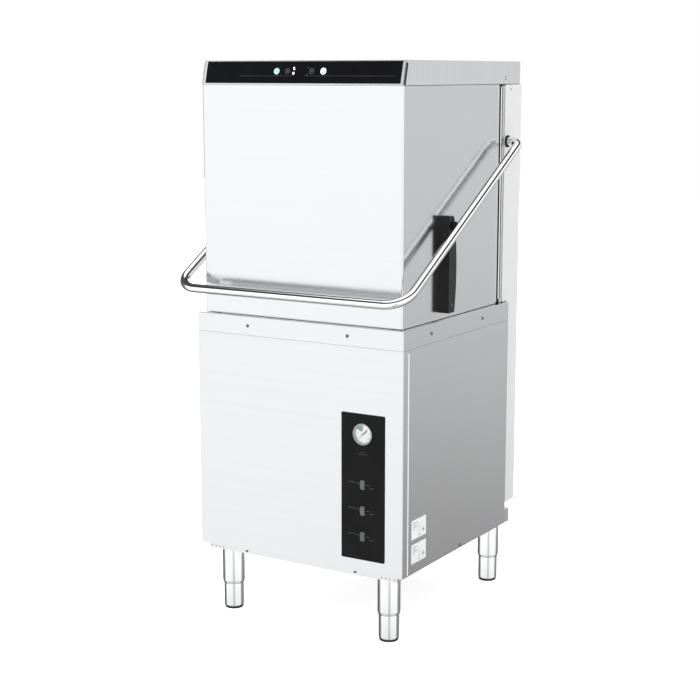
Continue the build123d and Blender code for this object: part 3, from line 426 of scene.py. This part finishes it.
# ---- legs and screw-out feet ---------------------------------------------------------
foot_radius = 27.25 * MM
leg_radius = 30.5 * MM
leg_bottom = 72 * MM
leg_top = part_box("leg_tubes")[1].z
swage = 1.2 * MM
foot_in_leg = 40 * MM
pad_top = 5.5 * MM
FOOT_STEPS = 72
leg_profile = [
    (leg_radius - 2.6 * MM, leg_top), (leg_radius, leg_top), (leg_radius, leg_bottom + 9 * MM),
    (leg_radius - 0.35 * MM, leg_bottom + 6.5 * MM), (leg_radius - swage, leg_bottom + 4.5 * MM),
    (leg_radius - 1.9 * MM, leg_bottom + 1.2 * MM), (leg_radius - 2.5 * MM, leg_bottom),
    (leg_radius - 2.7 * MM, leg_bottom), (leg_radius - 2.7 * MM, leg_top),
]
foot_profile = [
    (0.0, leg_bottom + foot_in_leg), (foot_radius, leg_bottom + foot_in_leg), (foot_radius, 11.5 * MM),
    (foot_radius - 0.6 * MM, 8.5 * MM), (foot_radius - 1.8 * MM, 6.4 * MM),
    (foot_radius - 3.4 * MM, pad_top), (0.0, pad_top),
]
pad_profile = [
    (0.0, 5.4 * MM), (foot_radius - 3.0 * MM, 5.4 * MM), (foot_radius - 1.5 * MM, 4.8 * MM),
    (foot_radius - 1.6 * MM, 3.0 * MM), (foot_radius - 3.2 * MM, 0.6 * MM), (foot_radius - 4.6 * MM, 0.0),
    (0.0, 0.0),
]
legs = bmesh.new()
for corner in ("front_left", "front_right", "rear_left", "rear_right"):
    foot_low, foot_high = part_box("foot_" + corner)
    spot = Vector(((foot_low.x + foot_high.x) / 2, (foot_low.y + foot_high.y) / 2, 0))
    spun(legs, leg_profile, spot, Z_AXIS, FOOT_STEPS)
    foot = bmesh.new()
    spun(foot, foot_profile, spot, Z_AXIS, FOOT_STEPS)
    foot_piece = finish_piece(foot, "screw_foot_" + corner, leg_steel, "foot_" + corner)
    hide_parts("foot_" + corner)
    pad = bmesh.new()
    spun(pad, pad_profile, spot, Z_AXIS, FOOT_STEPS)
    finish_piece(pad, "foot_pad_" + corner, rubber_black, "foot_" + corner)
leg_piece = finish_piece(legs, "swaged_leg_tubes", leg_steel, "cabinet")
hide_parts("leg_tubes")


# ---- screws: domed heads with a hexagon socket ------------------------------------------
RIM_HEAD = (4.6 * MM, 2 * MM)
BASE_HEAD = (4.4 * MM, 2 * MM)
COVER_HEAD = (2.6 * MM, 1 * MM)
BRACKET_HEAD = (4.2 * MM, 1.5 * MM)
CAP_HEAD = (2.3 * MM, 1 * MM)
rim_screw_x = 154 * MM
rim_screw_depths = (146 * MM, 437 * MM)
base_screw_x = 172 * MM
base_screw_z = 184.5 * MM
side_screw_depth = 318 * MM
side_screw_z = 199 * MM
cover_screw_depth = 610 * MM
cover_screw_drop = 12 * MM
bracket_screw_depth = 17 * MM
bracket_screw_rise = 20 * MM
bracket_screw_drop = 62 * MM
cap_screw_depth = 585 * MM
cap_screw_rises = (13 * MM, 20 * MM)


def socket_screw(mesh, seat, outward, head):
    """One button head of (radius, height) with its hexagon socket, facing outward from its seat."""
    radius, height = head
    socket_radius = radius * 0.4
    socket_floor = height * 0.35
    socket_depth = height - socket_floor
    facing = Matrix.Translation(seat) @ Vector(outward).to_track_quat("Z", "Y").to_matrix().to_4x4()
    profile = [
        (radius, 0.0), (radius, height * 0.35), (radius * 0.86, height * 0.8), (radius * 0.62, height),
    ]
    verts = [mesh.verts.new(facing @ Vector((r, 0, h))) for r, h in profile]
    edges = [mesh.edges.new(pair) for pair in zip(verts, verts[1:])]
    bmesh.ops.spin(
        mesh, geom=verts + edges, cent=seat, axis=outward, angle=math.tau, steps=24, use_merge=True,
    )
    bmesh.ops.create_circle(
        mesh, cap_ends=True, segments=6, radius=socket_radius,
        matrix=facing @ Matrix.Translation((0, 0, socket_floor)),
    )
    bmesh.ops.create_cone(
        mesh, cap_ends=False, segments=6, radius1=socket_radius, radius2=radius * 0.45, depth=socket_depth,
        matrix=facing @ Matrix.Translation((0, 0, socket_floor + socket_depth / 2)),
    )
    bmesh.ops.create_circle(
        mesh, cap_ends=True, segments=24, radius=radius * 0.95, matrix=facing,
    )


rim_low, rim_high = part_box("rim_frame")
base_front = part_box("base_frame")[0].y
hood_low, hood_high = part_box("hood_shell")
cover_low, cover_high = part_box("column_cover")
cap_low, cap_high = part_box("hood_cap")
front_y = rim_low.y
rim_z = (rim_low.z + rim_high.z) / 2
cabinet_heads = bmesh.new()
for x in (-rim_screw_x, rim_screw_x):
    socket_screw(cabinet_heads, Vector((x, front_y, rim_z)), -Y_AXIS, RIM_HEAD)
for x in (-base_screw_x, base_screw_x):
    socket_screw(cabinet_heads, Vector((x, base_front, base_screw_z)), -Y_AXIS, BASE_HEAD)
for x, outward in ((rim_low.x, -X_AXIS), (rim_high.x, X_AXIS)):
    for depth in rim_screw_depths:
        socket_screw(cabinet_heads, Vector((x, front_y + depth, rim_z)), outward, RIM_HEAD)
    socket_screw(cabinet_heads, Vector((x, front_y + side_screw_depth, side_screw_z)), outward, RIM_HEAD)
for x, outward in ((cover_low.x, -X_AXIS), (cover_high.x, X_AXIS)):
    seat = Vector((x, front_y + cover_screw_depth, cover_high.z - cover_screw_drop))
    socket_screw(cabinet_heads, seat, outward, COVER_HEAD)
cabinet_head_piece = finish_piece(
    cabinet_heads, "cabinet_socket_screws", screw_steel, "cabinet",
)
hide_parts("cabinet_screws")

bracket_low, bracket_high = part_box("lift_bracket_right")
hood_heads = bmesh.new()
for x, outward in ((-bracket_high.x, -X_AXIS), (bracket_high.x, X_AXIS)):
    for z in (bracket_low.z + bracket_screw_rise, bracket_high.z - bracket_screw_drop):
        socket_screw(hood_heads, Vector((x, bracket_low.y + bracket_screw_depth, z)), outward, BRACKET_HEAD)
for x, outward in ((hood_low.x, -X_AXIS), (hood_high.x, X_AXIS)):
    for rise in cap_screw_rises:
        seat = Vector((x, front_y + cap_screw_depth, hood_high.z + rise))
        socket_screw(hood_heads, seat, outward, CAP_HEAD)
hood_head_piece = finish_piece(hood_heads, "hood_socket_screws", screw_steel, "hood")
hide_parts("hood_screws")

# ---- front panel: the folded hem on its two side returns, in a lighter steel that partly paints its highlight ---
panel_low, panel_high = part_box("front_panel")
hem_radius = 1.5 * MM
hem_y = panel_high.y - 1.4 * MM
hem_bottom = panel_low.z + 2 * MM
hem_top = panel_high.z - 8 * MM
hem_profile = [
    (0.0, hem_bottom), (hem_radius, hem_bottom + 1 * MM), (hem_radius, hem_top - 1 * MM), (0.0, hem_top),
]
hems = bmesh.new()
for x in (panel_low.x, panel_high.x):
    spun(hems, hem_profile, Vector((x, hem_y, 0)), Z_AXIS, 20)
finish_piece(hems, "front_panel_hems", hem_steel_painted_highlight, "cabinet")

# ---- lower control panel: dial print, needle and switch legends ----------------------------
gauge_low, gauge_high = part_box("gauge_case")
gauge_x = (gauge_low.x + gauge_high.x) / 2
gauge_z = (gauge_low.z + gauge_high.z) / 2
dial_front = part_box("gauge_dial")[0].y + 3 * MM
facing_front = Matrix(((1, 0, 0, 0), (0, 0, -1, 0), (0, 1, 0, 0), (0, 0, 0, 1)))


def print_piece(name, material, draw, place, body="cabinet"):
    """A thin print on a plane: draw puts bars, discs and rings on it."""
    mesh = bmesh.new()
    draw(mesh, place)
    return finish_piece(mesh, name, material, body, smooth=False)


def polar(radius, degrees_from_top):
    """A point of the dial, clockwise from the top."""
    angle = math.radians(90 - degrees_from_top)
    return (radius * math.cos(angle), radius * math.sin(angle))


INK = 0.12 * MM
dial_plane = Matrix.Translation((gauge_x, dial_front, gauge_z)) @ facing_front
# The scale, in degrees clockwise from the top, and its printed numbers
DIAL_START = -130
DIAL_SWEEP = 260
DIAL_STEPS = 13
FINE_STEPS = 4 * (DIAL_STEPS - 1)
LIMIT_ANGLE = 48
scale_radius = 24 * MM
long_tick = 3.4 * MM
short_tick = 1.7 * MM
tick_width = 0.35 * MM
numeral_radius = 17.2 * MM
numeral_size = 3.6 * MM


def dial_ticks(mesh, place):
    """The scale's ticks and circle, and two small bars for the unit."""
    for step in range(FINE_STEPS + 1):
        angle = DIAL_START + DIAL_SWEEP * step / FINE_STEPS
        length = long_tick if step % 4 == 0 else short_tick
        turned = place @ Matrix.Rotation(-math.radians(angle), 4, "Z")
        bar_on(mesh, turned, (0, scale_radius - length / 2), (tick_width, length), INK)
    ring_on(mesh, place, (0, 0), 24.6 * MM, 24.2 * MM, INK)
    for x in (-2.2 * MM, 2.2 * MM):
        bar_on(mesh, place, (x, -12 * MM), (1.6 * MM, 0.5 * MM), INK)


def dial_sector(mesh, place):
    """The green part of the scale, left of the top."""
    start = math.radians(97)
    sweep = math.radians(50)
    ring_on(mesh, place, (0, 0), scale_radius, 9 * MM, INK * 0.5, start, sweep, 16)


def dial_limit(mesh, place):
    """The red mark, right of the top."""
    turned = place @ Matrix.Rotation(-math.radians(LIMIT_ANGLE), 4, "Z")
    bar_on(mesh, turned, (0, 14.5 * MM), (3.4 * MM, 1.6 * MM), INK * 1.4)


print_piece("dial_ticks", dark_ink, dial_ticks, dial_plane)
print_piece("dial_green_range", dial_green, dial_sector, dial_plane)
print_piece("dial_red_limit", red_ink, dial_limit, dial_plane)

numerals = bmesh.new()
for index in range(0, DIAL_STEPS, 2):
    numeral = bpy.data.curves.new("numeral", "FONT")
    numeral.body = str(index * 10)
    numeral.size = numeral_size
    numeral.extrude = INK / 2
    numeral.align_x = "CENTER"
    numeral.align_y = "CENTER"
    holder = bpy.data.objects.new("numeral", numeral)
    bpy.context.scene.collection.objects.link(holder)
    x, y = polar(numeral_radius, DIAL_START + DIAL_SWEEP * index / (DIAL_STEPS - 1))
    shape = bpy.data.meshes.new_from_object(holder)
    shape.transform(dial_plane @ Matrix.Translation((x, y, INK / 2)))
    numerals.from_mesh(shape)
    bpy.data.objects.remove(holder)
    bpy.data.meshes.remove(shape)
finish_piece(numerals, "dial_numerals", dark_ink, "cabinet", smooth=False)

needle = bmesh.new()
needle_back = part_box("gauge_needle")[1].y
NEEDLE_REST = math.radians(132)
TIP_NARROWING = 0.3
needle_thick = 0.7 * MM
needle_plane = Matrix.Translation((gauge_x, needle_back, gauge_z)) @ facing_front
turned_plane = needle_plane @ Matrix.Rotation(NEEDLE_REST, 4, "Z")
blade = bar_on(needle, turned_plane, (0, 7 * MM), (1.0 * MM, 18 * MM), needle_thick)
for vert in blade:
    local = turned_plane.inverted() @ vert.co
    if local.y > 10 * MM:
        vert.co = turned_plane @ Vector((local.x * TIP_NARROWING, local.y, local.z))
bar_on(needle, turned_plane, (0, -6 * MM), (2.2 * MM, 10 * MM), needle_thick)
disc_on(needle, turned_plane, (0, -11 * MM), 2.4 * MM, needle_thick)
disc_on(needle, needle_plane, (0, 0), 2.2 * MM, 2 * needle_thick)
needle_piece = finish_piece(needle, "dial_needle", dark_ink, "gauge_needle", smooth=False)
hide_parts("gauge_needle")

plate_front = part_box("control_panel")[0].y
plate_plane = Matrix.Translation((gauge_x, plate_front, 0)) @ facing_front
SWITCHES = ("upper", "middle", "lower")
switch_heights = [sum(c.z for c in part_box("prime_switch_" + name)) / 2 for name in SWITCHES]


def switch_leaders(mesh, place):
    """The line on each side of each switch."""
    for z in switch_heights:
        bar_on(mesh, place, (-14 * MM, z + 3 * MM), (12 * MM, 0.8 * MM), INK)
        bar_on(mesh, place, (15 * MM, z + 0.5 * MM), (13 * MM, 0.8 * MM), INK)


def switch_captions(mesh, place):
    """Blocks that stand for words: three to the left of each switch and two to the right."""
    for z in switch_heights:
        for offset, width in ((-38, 8), (-30, 5), (-24, 4)):
            bar_on(mesh, place, (offset * MM, z + 4.5 * MM), (width * MM, 2.0 * MM), INK)
        for offset, width in ((23, 5), (29, 6)):
            bar_on(mesh, place, (offset * MM, z - 6 * MM), (width * MM, 1.8 * MM), INK)


def heat_caption(mesh, place):
    """Blocks that stand for the words under the dial."""
    middle = gauge_z - 52 * MM
    bar_on(mesh, place, (0, middle + 4.5 * MM), (13 * MM, 1.6 * MM), INK)
    for offset, width in ((-9, 7), (0, 9), (9, 7)):
        bar_on(mesh, place, (offset * MM, middle - 1 * MM), (width * MM, 2.2 * MM), INK)


def rocker_mark(mesh, place):
    """The line across a rocker."""
    bar_on(mesh, place, (0, 0), (11 * MM, 0.7 * MM), 0.1 * MM)


print_piece("switch_leaders", grey_ink, switch_leaders, plate_plane)
print_piece("switch_captions", dim_ink, switch_captions, plate_plane)
print_piece("heat_caption", amber_ink, heat_caption, plate_plane)
for name, z in zip(SWITCHES, switch_heights):
    switch = "prime_switch_" + name
    rocker_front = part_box(switch)[0].y
    rocker_plane = Matrix.Translation((gauge_x, rocker_front + 0.15 * MM, z)) @ facing_front
    print_piece("rocker_mark_" + name, grey_ink, rocker_mark, rocker_plane, switch)

# ---- rating plates: bars, a ring and a disc that stand for print ---------------------------
label_low, label_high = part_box("rating_plates")
facing_right = Matrix(((0, 0, 1, 0), (1, 0, 0, 0), (0, 1, 0, 0), (0, 0, 0, 1)))
label_middle = (label_low.y + label_high.y) / 2
PLATE_HEIGHTS = (307 * MM, 242.5 * MM)
TEXT_WIDTHS = (22 * MM, 14 * MM, 26 * MM, 9 * MM)
text_margin = -31 * MM
text_pitch = 5.5 * MM
stamp_x = 24 * MM


def label_print(mesh, place):
    """On each plate: rows of text, a short column, a round stamp and a number at the foot."""
    for z in PLATE_HEIGHTS:
        for row, width in enumerate(TEXT_WIDTHS):
            row_z = z + 17 * MM - text_pitch * row
            bar_on(mesh, place, (text_margin + width / 2, row_z), (width, 1.4 * MM), INK)
        for row in range(3):
            bar_on(mesh, place, (3 * MM, z + (8 - 9 * row) * MM), (7 * MM, 1.2 * MM), INK)
        ring_on(mesh, place, (stamp_x, z - 9 * MM), 6 * MM, 4.8 * MM, INK)
        disc_on(mesh, place, (stamp_x, z - 9 * MM), 2.4 * MM, INK, 20)
        bar_on(mesh, place, (4 * MM, z - 19 * MM), (10 * MM, 2.2 * MM), INK)


label_plane = Matrix.Translation((label_high.x, label_middle, 0)) @ facing_right
print_piece("label_print", grey_ink, label_print, label_plane)

# ---- fascia: fine lines, lamps, marks and the buttons' icons ---------------------------------
cap_lean = 16 * MM
fascia_sheet = 0.6 * MM
button_stand = 1.4 * MM
lean = math.atan2(cap_lean, cap_high.z - hood_high.z)
normal = Vector((0, -math.cos(lean), math.sin(lean)))
upward = Vector((0, math.sin(lean), math.cos(lean)))
fascia_centre = Vector((0, hood_low.y + cap_lean / 2, (hood_high.z + cap_high.z) / 2))
fascia_plane = Matrix((
    (1, 0, 0, 0), (0, upward.y, normal.y, 0), (0, upward.z, normal.z, 0), (0, 0, 0, 1),
))
face_plane = Matrix.Translation(fascia_centre + normal * fascia_sheet) @ fascia_plane
button_plane = Matrix.Translation(fascia_centre + normal * button_stand) @ fascia_plane
button_height = 4.1 * MM
start_x = -73 * MM
drain_x = -39 * MM
cycle_x = 33.5 * MM
power_x = 68 * MM
lamp_x = -20.5 * MM
lamp_height = 11 * MM
LAMP_TURN = 0.35


def fine_lines(mesh, place):
    """The thin line under the buttons, in two lengths."""
    for start, end in ((-187, -25), (11, 276)):
        bar_on(mesh, place, ((start + end) / 2 * MM, -8 * MM), ((end - start) * MM, 0.8 * MM), INK)


def small_lamps(mesh, place):
    """A slanting bar lamp with a round one under it."""
    lamp_verts = bar_on(mesh, place, (lamp_x, lamp_height), (4.2 * MM, 7.5 * MM), INK)
    bmesh.ops.rotate(
        mesh, verts=lamp_verts, cent=place @ Vector((lamp_x, lamp_height, 0)),
        matrix=Matrix.Rotation(LAMP_TURN, 3, normal),
    )
    disc_on(mesh, place, (-21 * MM, -1.5 * MM), 3.3 * MM, INK)


def dim_marks(mesh, place):
    """Two unlit lamps, one above the other."""
    for height, radius in ((13 * MM, 1.8 * MM), (-5.5 * MM, 2.2 * MM)):
        disc_on(mesh, place, (20.4 * MM, height), radius, INK)


print_piece("fascia_fine_lines", dim_ink, fine_lines, face_plane, "hood")
print_piece("fascia_lamps", white_ink, small_lamps, face_plane, "hood")
print_piece("fascia_dim_marks", dim_ink, dim_marks, face_plane, "hood")


def start_icon(mesh, place):
    """A ring round a triangle that points right."""
    ring_on(mesh, place, (start_x, button_height), 8.2 * MM, 6.4 * MM, INK)
    spot = place @ Matrix.Translation((start_x - 0.6 * MM, button_height, INK / 2))
    bmesh.ops.create_cone(
        mesh, cap_ends=True, segments=3, radius1=5.0 * MM, radius2=5.0 * MM, depth=INK,
        matrix=spot @ Matrix.Rotation(math.radians(-90), 4, "Z"),
    )


def drain_icon(mesh, place):
    """A ring round a cross."""
    ring_on(mesh, place, (drain_x, button_height), 7.0 * MM, 6.2 * MM, INK)
    for angle in (45, 135):
        spot = place @ Matrix.Translation((drain_x, button_height, 0))
        cross = spot @ Matrix.Rotation(math.radians(angle), 4, "Z")
        bar_on(mesh, cross, (0, 0), (6.0 * MM, 0.9 * MM), INK)


def cycle_icon(mesh, place):
    """A ring round three short arcs."""
    ring_on(mesh, place, (cycle_x, button_height), 7.6 * MM, 6.9 * MM, INK)
    start = math.radians(40)
    sweep = math.radians(100)
    for height in (-0.6 * MM, -3.0 * MM, -5.4 * MM):
        ring_on(
            mesh, place, (cycle_x, button_height + height), 4.8 * MM, 4.0 * MM, INK, start, sweep, 12,
        )


def power_icon(mesh, place):
    """An open ring with a bar in its gap."""
    start = math.radians(125)
    sweep = math.radians(290)
    ring_on(mesh, place, (power_x, button_height), 5.0 * MM, 3.2 * MM, INK, start, sweep, 24)
    bar_on(mesh, place, (power_x, button_height + 3.6 * MM), (1.0 * MM, 4.0 * MM), INK)


print_piece("start_icon", teal_ink, start_icon, button_plane, "start_button")
print_piece("drain_icon", grey_ink, drain_icon, button_plane, "drain_button")
print_piece("cycle_icon", grey_ink, cycle_icon, button_plane, "cycle_button")
print_piece("power_icon", dark_ink, power_icon, button_plane, "power_button")

# ---- cap: black strips painted as the shadow in the gaps beside the fascia frame, and a painted shadow line under its skirt ---
PROUD = 0.15 * MM
cap_front = cap_low.y
seam_z = cap_low.z - 0.4 * MM
side_strip = (8 * MM, 56 * MM)
front_strip = (1.6 * MM, 57 * MM)
# Thin black strips on the cap's sides and at the ends of its front, beside the fascia frame: painted shadow
# of the gaps there.
cap_gap_shadows = bmesh.new()
for x in (cap_low.x, cap_high.x):
    strip = box(
        cap_gap_shadows, (x - PROUD, -side_strip[0] / 2, 0), (x + PROUD, side_strip[0] / 2, side_strip[1]),
    )
    bmesh.ops.rotate(cap_gap_shadows, verts=strip, cent=(0, 0, 0), matrix=Matrix.Rotation(-lean, 3, "X"))
    bmesh.ops.translate(cap_gap_shadows, verts=strip, vec=(0, cap_front + 5.2 * MM, seam_z + 1.6 * MM))
cap_front_plane = Matrix.Translation(fascia_centre) @ fascia_plane
for x in (cap_low.x + front_strip[0] / 2, cap_high.x - front_strip[0] / 2):
    bar_on(cap_gap_shadows, cap_front_plane, (x, -0.5 * MM), front_strip, INK)
finish_piece(cap_gap_shadows, "cap_side_gap_shadows", rubber_black, "hood", smooth=False)

# A dark grey strip round the cap's skirt: a painted shadow line for the seam between cap and hood.
seam_height = 1.5 * MM
seam_lines = bmesh.new()
for x in (cap_low.x, cap_high.x):
    box(
        seam_lines, (x - PROUD, cap_front + 4 * MM, seam_z),
        (x + PROUD, cap_high.y - 1 * MM, seam_z + seam_height),
    )
box(
    seam_lines, (cap_low.x + 2 * MM, cap_front - PROUD, seam_z - 0.4 * MM),
    (cap_high.x - 2 * MM, cap_front + PROUD, seam_z - 0.4 * MM + seam_height),
)
finish_piece(seam_lines, "cap_seam_shadow", painted_seam_shadow, "hood", smooth=False)

# ---- hood and column: folded edges beside the running gap in a lighter steel that partly paints their highlights, and lighter strips painted as the highlights of the hood's rear flanges ---
fold_width = 2.4 * MM
flange_width = 10.5 * MM
flange_margin = 0.5 * MM
face_low, face_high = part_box("column_face")
folds = bmesh.new()
for side in (-1, 1):
    outer = sorted((side * face_high.x, side * (face_high.x - fold_width)))
    box(
        folds, (outer[0], face_low.y - 5 * MM, rim_high.z + 12 * MM),
        (outer[1], face_low.y + 5 * MM, face_high.z - 2 * MM),
    )
finish_piece(folds, "column_edge_folds", hem_steel_painted_highlight, "cabinet", bevel=0.9 * MM)

# Strips of the lighter cap steel laid flat on the hood's sides at the rear: partly the real flange, partly
# its painted highlight.
flange_highlights = bmesh.new()
for x in (hood_low.x, hood_high.x):
    box(
        flange_highlights, (x - 0.25 * MM, hood_high.y - flange_margin - flange_width, hood_low.z + 3 * MM),
        (x + 0.25 * MM, hood_high.y - flange_margin, seam_z - 2 * MM),
    )
finish_piece(flange_highlights, "hood_rear_flange_highlights", cap_steel, "hood", smooth=False)

# ---- counterbalance springs: real coils between the anchor and the lever pins ----------------
spring_low, spring_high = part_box("lift_springs")
coil_radius = 9.2 * MM
wire_radius = 1.3 * MM
spring_y = (spring_low.y + spring_high.y) / 2
TURNS = 62
STEPS_IN_A_TURN = 16
WIRE_SIDES = 6
coil_reach = coil_radius + wire_radius
rise = (spring_high.z - spring_low.z - 2 * wire_radius) / (TURNS * STEPS_IN_A_TURN)
coils = bmesh.new()
for x in (spring_low.x + coil_reach, spring_high.x - coil_reach):
    start = Vector((x, spring_y, spring_low.z + wire_radius))
    ring = bmesh.ops.create_circle(
        coils, cap_ends=False, segments=WIRE_SIDES, radius=wire_radius,
        matrix=Matrix.Translation(start + X_AXIS * coil_radius) @ Matrix.Rotation(math.radians(90), 4, "X"),
    )
    edges = list({e for v in ring["verts"] for e in v.link_edges})
    bmesh.ops.spin(
        coils, geom=ring["verts"] + edges, cent=start, axis=Z_AXIS, dvec=(0, 0, rise),
        angle=math.tau * TURNS, steps=TURNS * STEPS_IN_A_TURN,
    )
bmesh.ops.holes_fill(coils, edges=coils.edges, sides=WIRE_SIDES)
coil_piece = finish_piece(coils, "coil_springs", spring_steel, "cabinet")
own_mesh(coil_piece)
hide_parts("lift_springs")

# ---- camera, floor and studio -----------------------------------------------------
camera = bpy.data.objects.new("studio_camera", bpy.data.cameras.new("studio_camera"))
bpy.context.scene.collection.objects.link(camera)
camera.data.sensor_width = 36
camera.data.lens = 79.47
camera.data.clip_end = 60
camera.location = (2.17222, -3.60077, 1.46534)
look = Vector((-0.51270, 0.84015, -0.17688)).normalized()
camera.rotation_euler = look.to_track_quat("-Z", "Y").to_euler()
bpy.context.scene.camera = camera

floor_mesh = bmesh.new()
bmesh.ops.create_grid(floor_mesh, x_segments=1, y_segments=1, size=14)
floor_data = bpy.data.meshes.new("floor")
floor_mesh.to_mesh(floor_data)
floor_mesh.free()
floor = bpy.data.objects.new("floor", floor_data)
bpy.context.scene.collection.objects.link(floor)
floor.visible_glossy = False
floor_paper, tree, shader, coordinate = start_finish("pale_paper_floor")
fibre = noise(tree, coordinate, (1, 1, 1), 40.0, 3.0)
paper = ramp_colour(tree, fibre, (0.90, 0.90, 0.90), (0.92, 0.92, 0.92))
tree.links.new(paper, shader.inputs["Base Color"])
shader.inputs["Roughness"].default_value = 0.9
shader.inputs["Specular IOR Level"].default_value = 0.0
shader.inputs["Emission Color"].default_value = (1.0, 1.0, 1.0, 1.0)
shader.inputs["Emission Strength"].default_value = 0.72
floor_data.materials.append(floor_paper)


def soft_light(name, place, aim, width, height, power):
    """A large soft box that lights the object but isn't mirrored in it."""
    light = bpy.data.lights.new(name, "AREA")
    light.shape = "RECTANGLE"
    light.size = width
    light.size_y = height
    light.energy = power
    lamp = bpy.data.objects.new(name, light)
    lamp.location = place
    lamp.rotation_euler = (Vector(aim) - Vector(place)).to_track_quat("-Z", "Y").to_euler()
    lamp.visible_glossy = False
    bpy.context.scene.collection.objects.link(lamp)


soft_light("overhead_box", (0, -0.6, 4.5), (0, 0, 0), 6.0, 6.0, 120)
fill = bpy.data.lights.new("even_fill", "SUN")
fill.energy = 2.2
fill.angle = math.radians(120)
fill_lamp = bpy.data.objects.new("even_fill", fill)
fill_lamp.rotation_euler = (math.radians(12), math.radians(-8), 0)
fill_lamp.visible_glossy = False
bpy.context.scene.collection.objects.link(fill_lamp)

world = bpy.data.worlds.new("studio")
bpy.context.scene.world = world
world.use_nodes = True
sky = world.node_tree
sky.nodes.clear()
direction = sky.nodes.new("ShaderNodeTexCoord").outputs["Generated"]
parts = sky.nodes.new("ShaderNodeSeparateXYZ")
sky.links.new(direction, parts.inputs[0])


def sky_ramp(value, stops):
    """Brightness along one direction of the studio, from -1 to 1."""
    span = sky.nodes.new("ShaderNodeMapRange")
    span.inputs["From Min"].default_value = -1.0
    sky.links.new(value, span.inputs["Value"])
    ramp = sky.nodes.new("ShaderNodeValToRGB")
    elements = ramp.color_ramp.elements
    while len(elements) < len(stops):
        elements.new(0.5)
    for element, (position, level) in zip(elements, stops):
        element.position = (position + 1) / 2
        element.color = (level, level, level, 1)
    sky.links.new(span.outputs["Result"], ramp.inputs["Fac"])
    return ramp.outputs["Color"]


def sky_mix(fac, first, second):
    """Blends two brightness patterns of the studio."""
    node = sky.nodes.new("ShaderNodeMix")
    node.data_type = "RGBA"
    sky.links.new(fac, node.inputs["Factor"])
    sky.links.new(first, node.inputs["A"])
    sky.links.new(second, node.inputs["B"])
    return node.outputs["Result"]


# Stops of (height, brightness), from straight down at -1 to straight up at 1
ROOF = [(0.40, 0.95), (0.46, 0.03), (0.80, 0.03), (0.85, 1.0), (1.0, 1.0)]
front_walls = sky_ramp(parts.outputs["Z"], [(-1.0, 0.40), (-0.6, 0.6), (-0.34, 0.9), (0.0, 1.0)] + ROOF)
SIDE_FADE = [
    (-1.0, 0.15), (-0.45, 0.18), (-0.33, 0.23), (-0.23, 0.42), (-0.12, 0.55), (-0.03, 0.58), (0.1, 0.56),
]
side_walls = sky_ramp(parts.outputs["Z"], SIDE_FADE + ROOF)
DARK = [(-1.0, 0.10), (0.0, 0.10), (0.5, 0.06), (0.8, 0.05), (0.86, 0.9), (1.0, 1.0)]
dark_walls = sky_ramp(parts.outputs["Z"], DARK)
bearing = sky.nodes.new("ShaderNodeMath")
bearing.operation = "ARCTAN2"
sky.links.new(parts.outputs["Y"], bearing.inputs[0])
sky.links.new(parts.outputs["X"], bearing.inputs[1])
half_turns = sky.nodes.new("ShaderNodeMath")
half_turns.operation = "DIVIDE"
half_turns.inputs[1].default_value = math.pi
sky.links.new(bearing.outputs[0], half_turns.inputs[0])


def bearings(*stops):
    """Weights round the compass, in degrees from +X towards +Y."""
    return sky_ramp(half_turns.outputs[0], [(degrees / 180, level) for degrees, level in stops])


side_weight = bearings(
    (-70, 0.0), (-62, 0.55), (-50, 0.55), (-40, 0.0), (26, 0.0), (42, 1.0), (100, 1.0), (115, 0.0),
)
dark_weight = bearings(
    (-180, 1.0), (-166, 0.9), (-150, 0.0), (68, 0.0), (82, 0.45), (98, 0.7), (107, 0.0), (136, 0.0),
    (146, 1.0), (180, 1.0),
)
walls = sky_mix(side_weight, front_walls, side_walls)
walls = sky_mix(dark_weight, walls, dark_walls)
studio_walls = sky.nodes.new("ShaderNodeBackground")
studio_walls.inputs["Strength"].default_value = 1.38
sky.links.new(walls, studio_walls.inputs["Color"])
backdrop = sky.nodes.new("ShaderNodeBackground")
backdrop.inputs["Color"].default_value = (1, 1, 1, 1)
seen = sky.nodes.new("ShaderNodeLightPath")
choose = sky.nodes.new("ShaderNodeMixShader")
sky.links.new(seen.outputs["Is Camera Ray"], choose.inputs["Fac"])
sky.links.new(studio_walls.outputs[0], choose.inputs[1])
sky.links.new(backdrop.outputs[0], choose.inputs[2])
sky_output = sky.nodes.new("ShaderNodeOutputWorld")
sky.links.new(choose.outputs[0], sky_output.inputs["Surface"])
bpy.context.scene.view_settings.view_transform = "Standard"
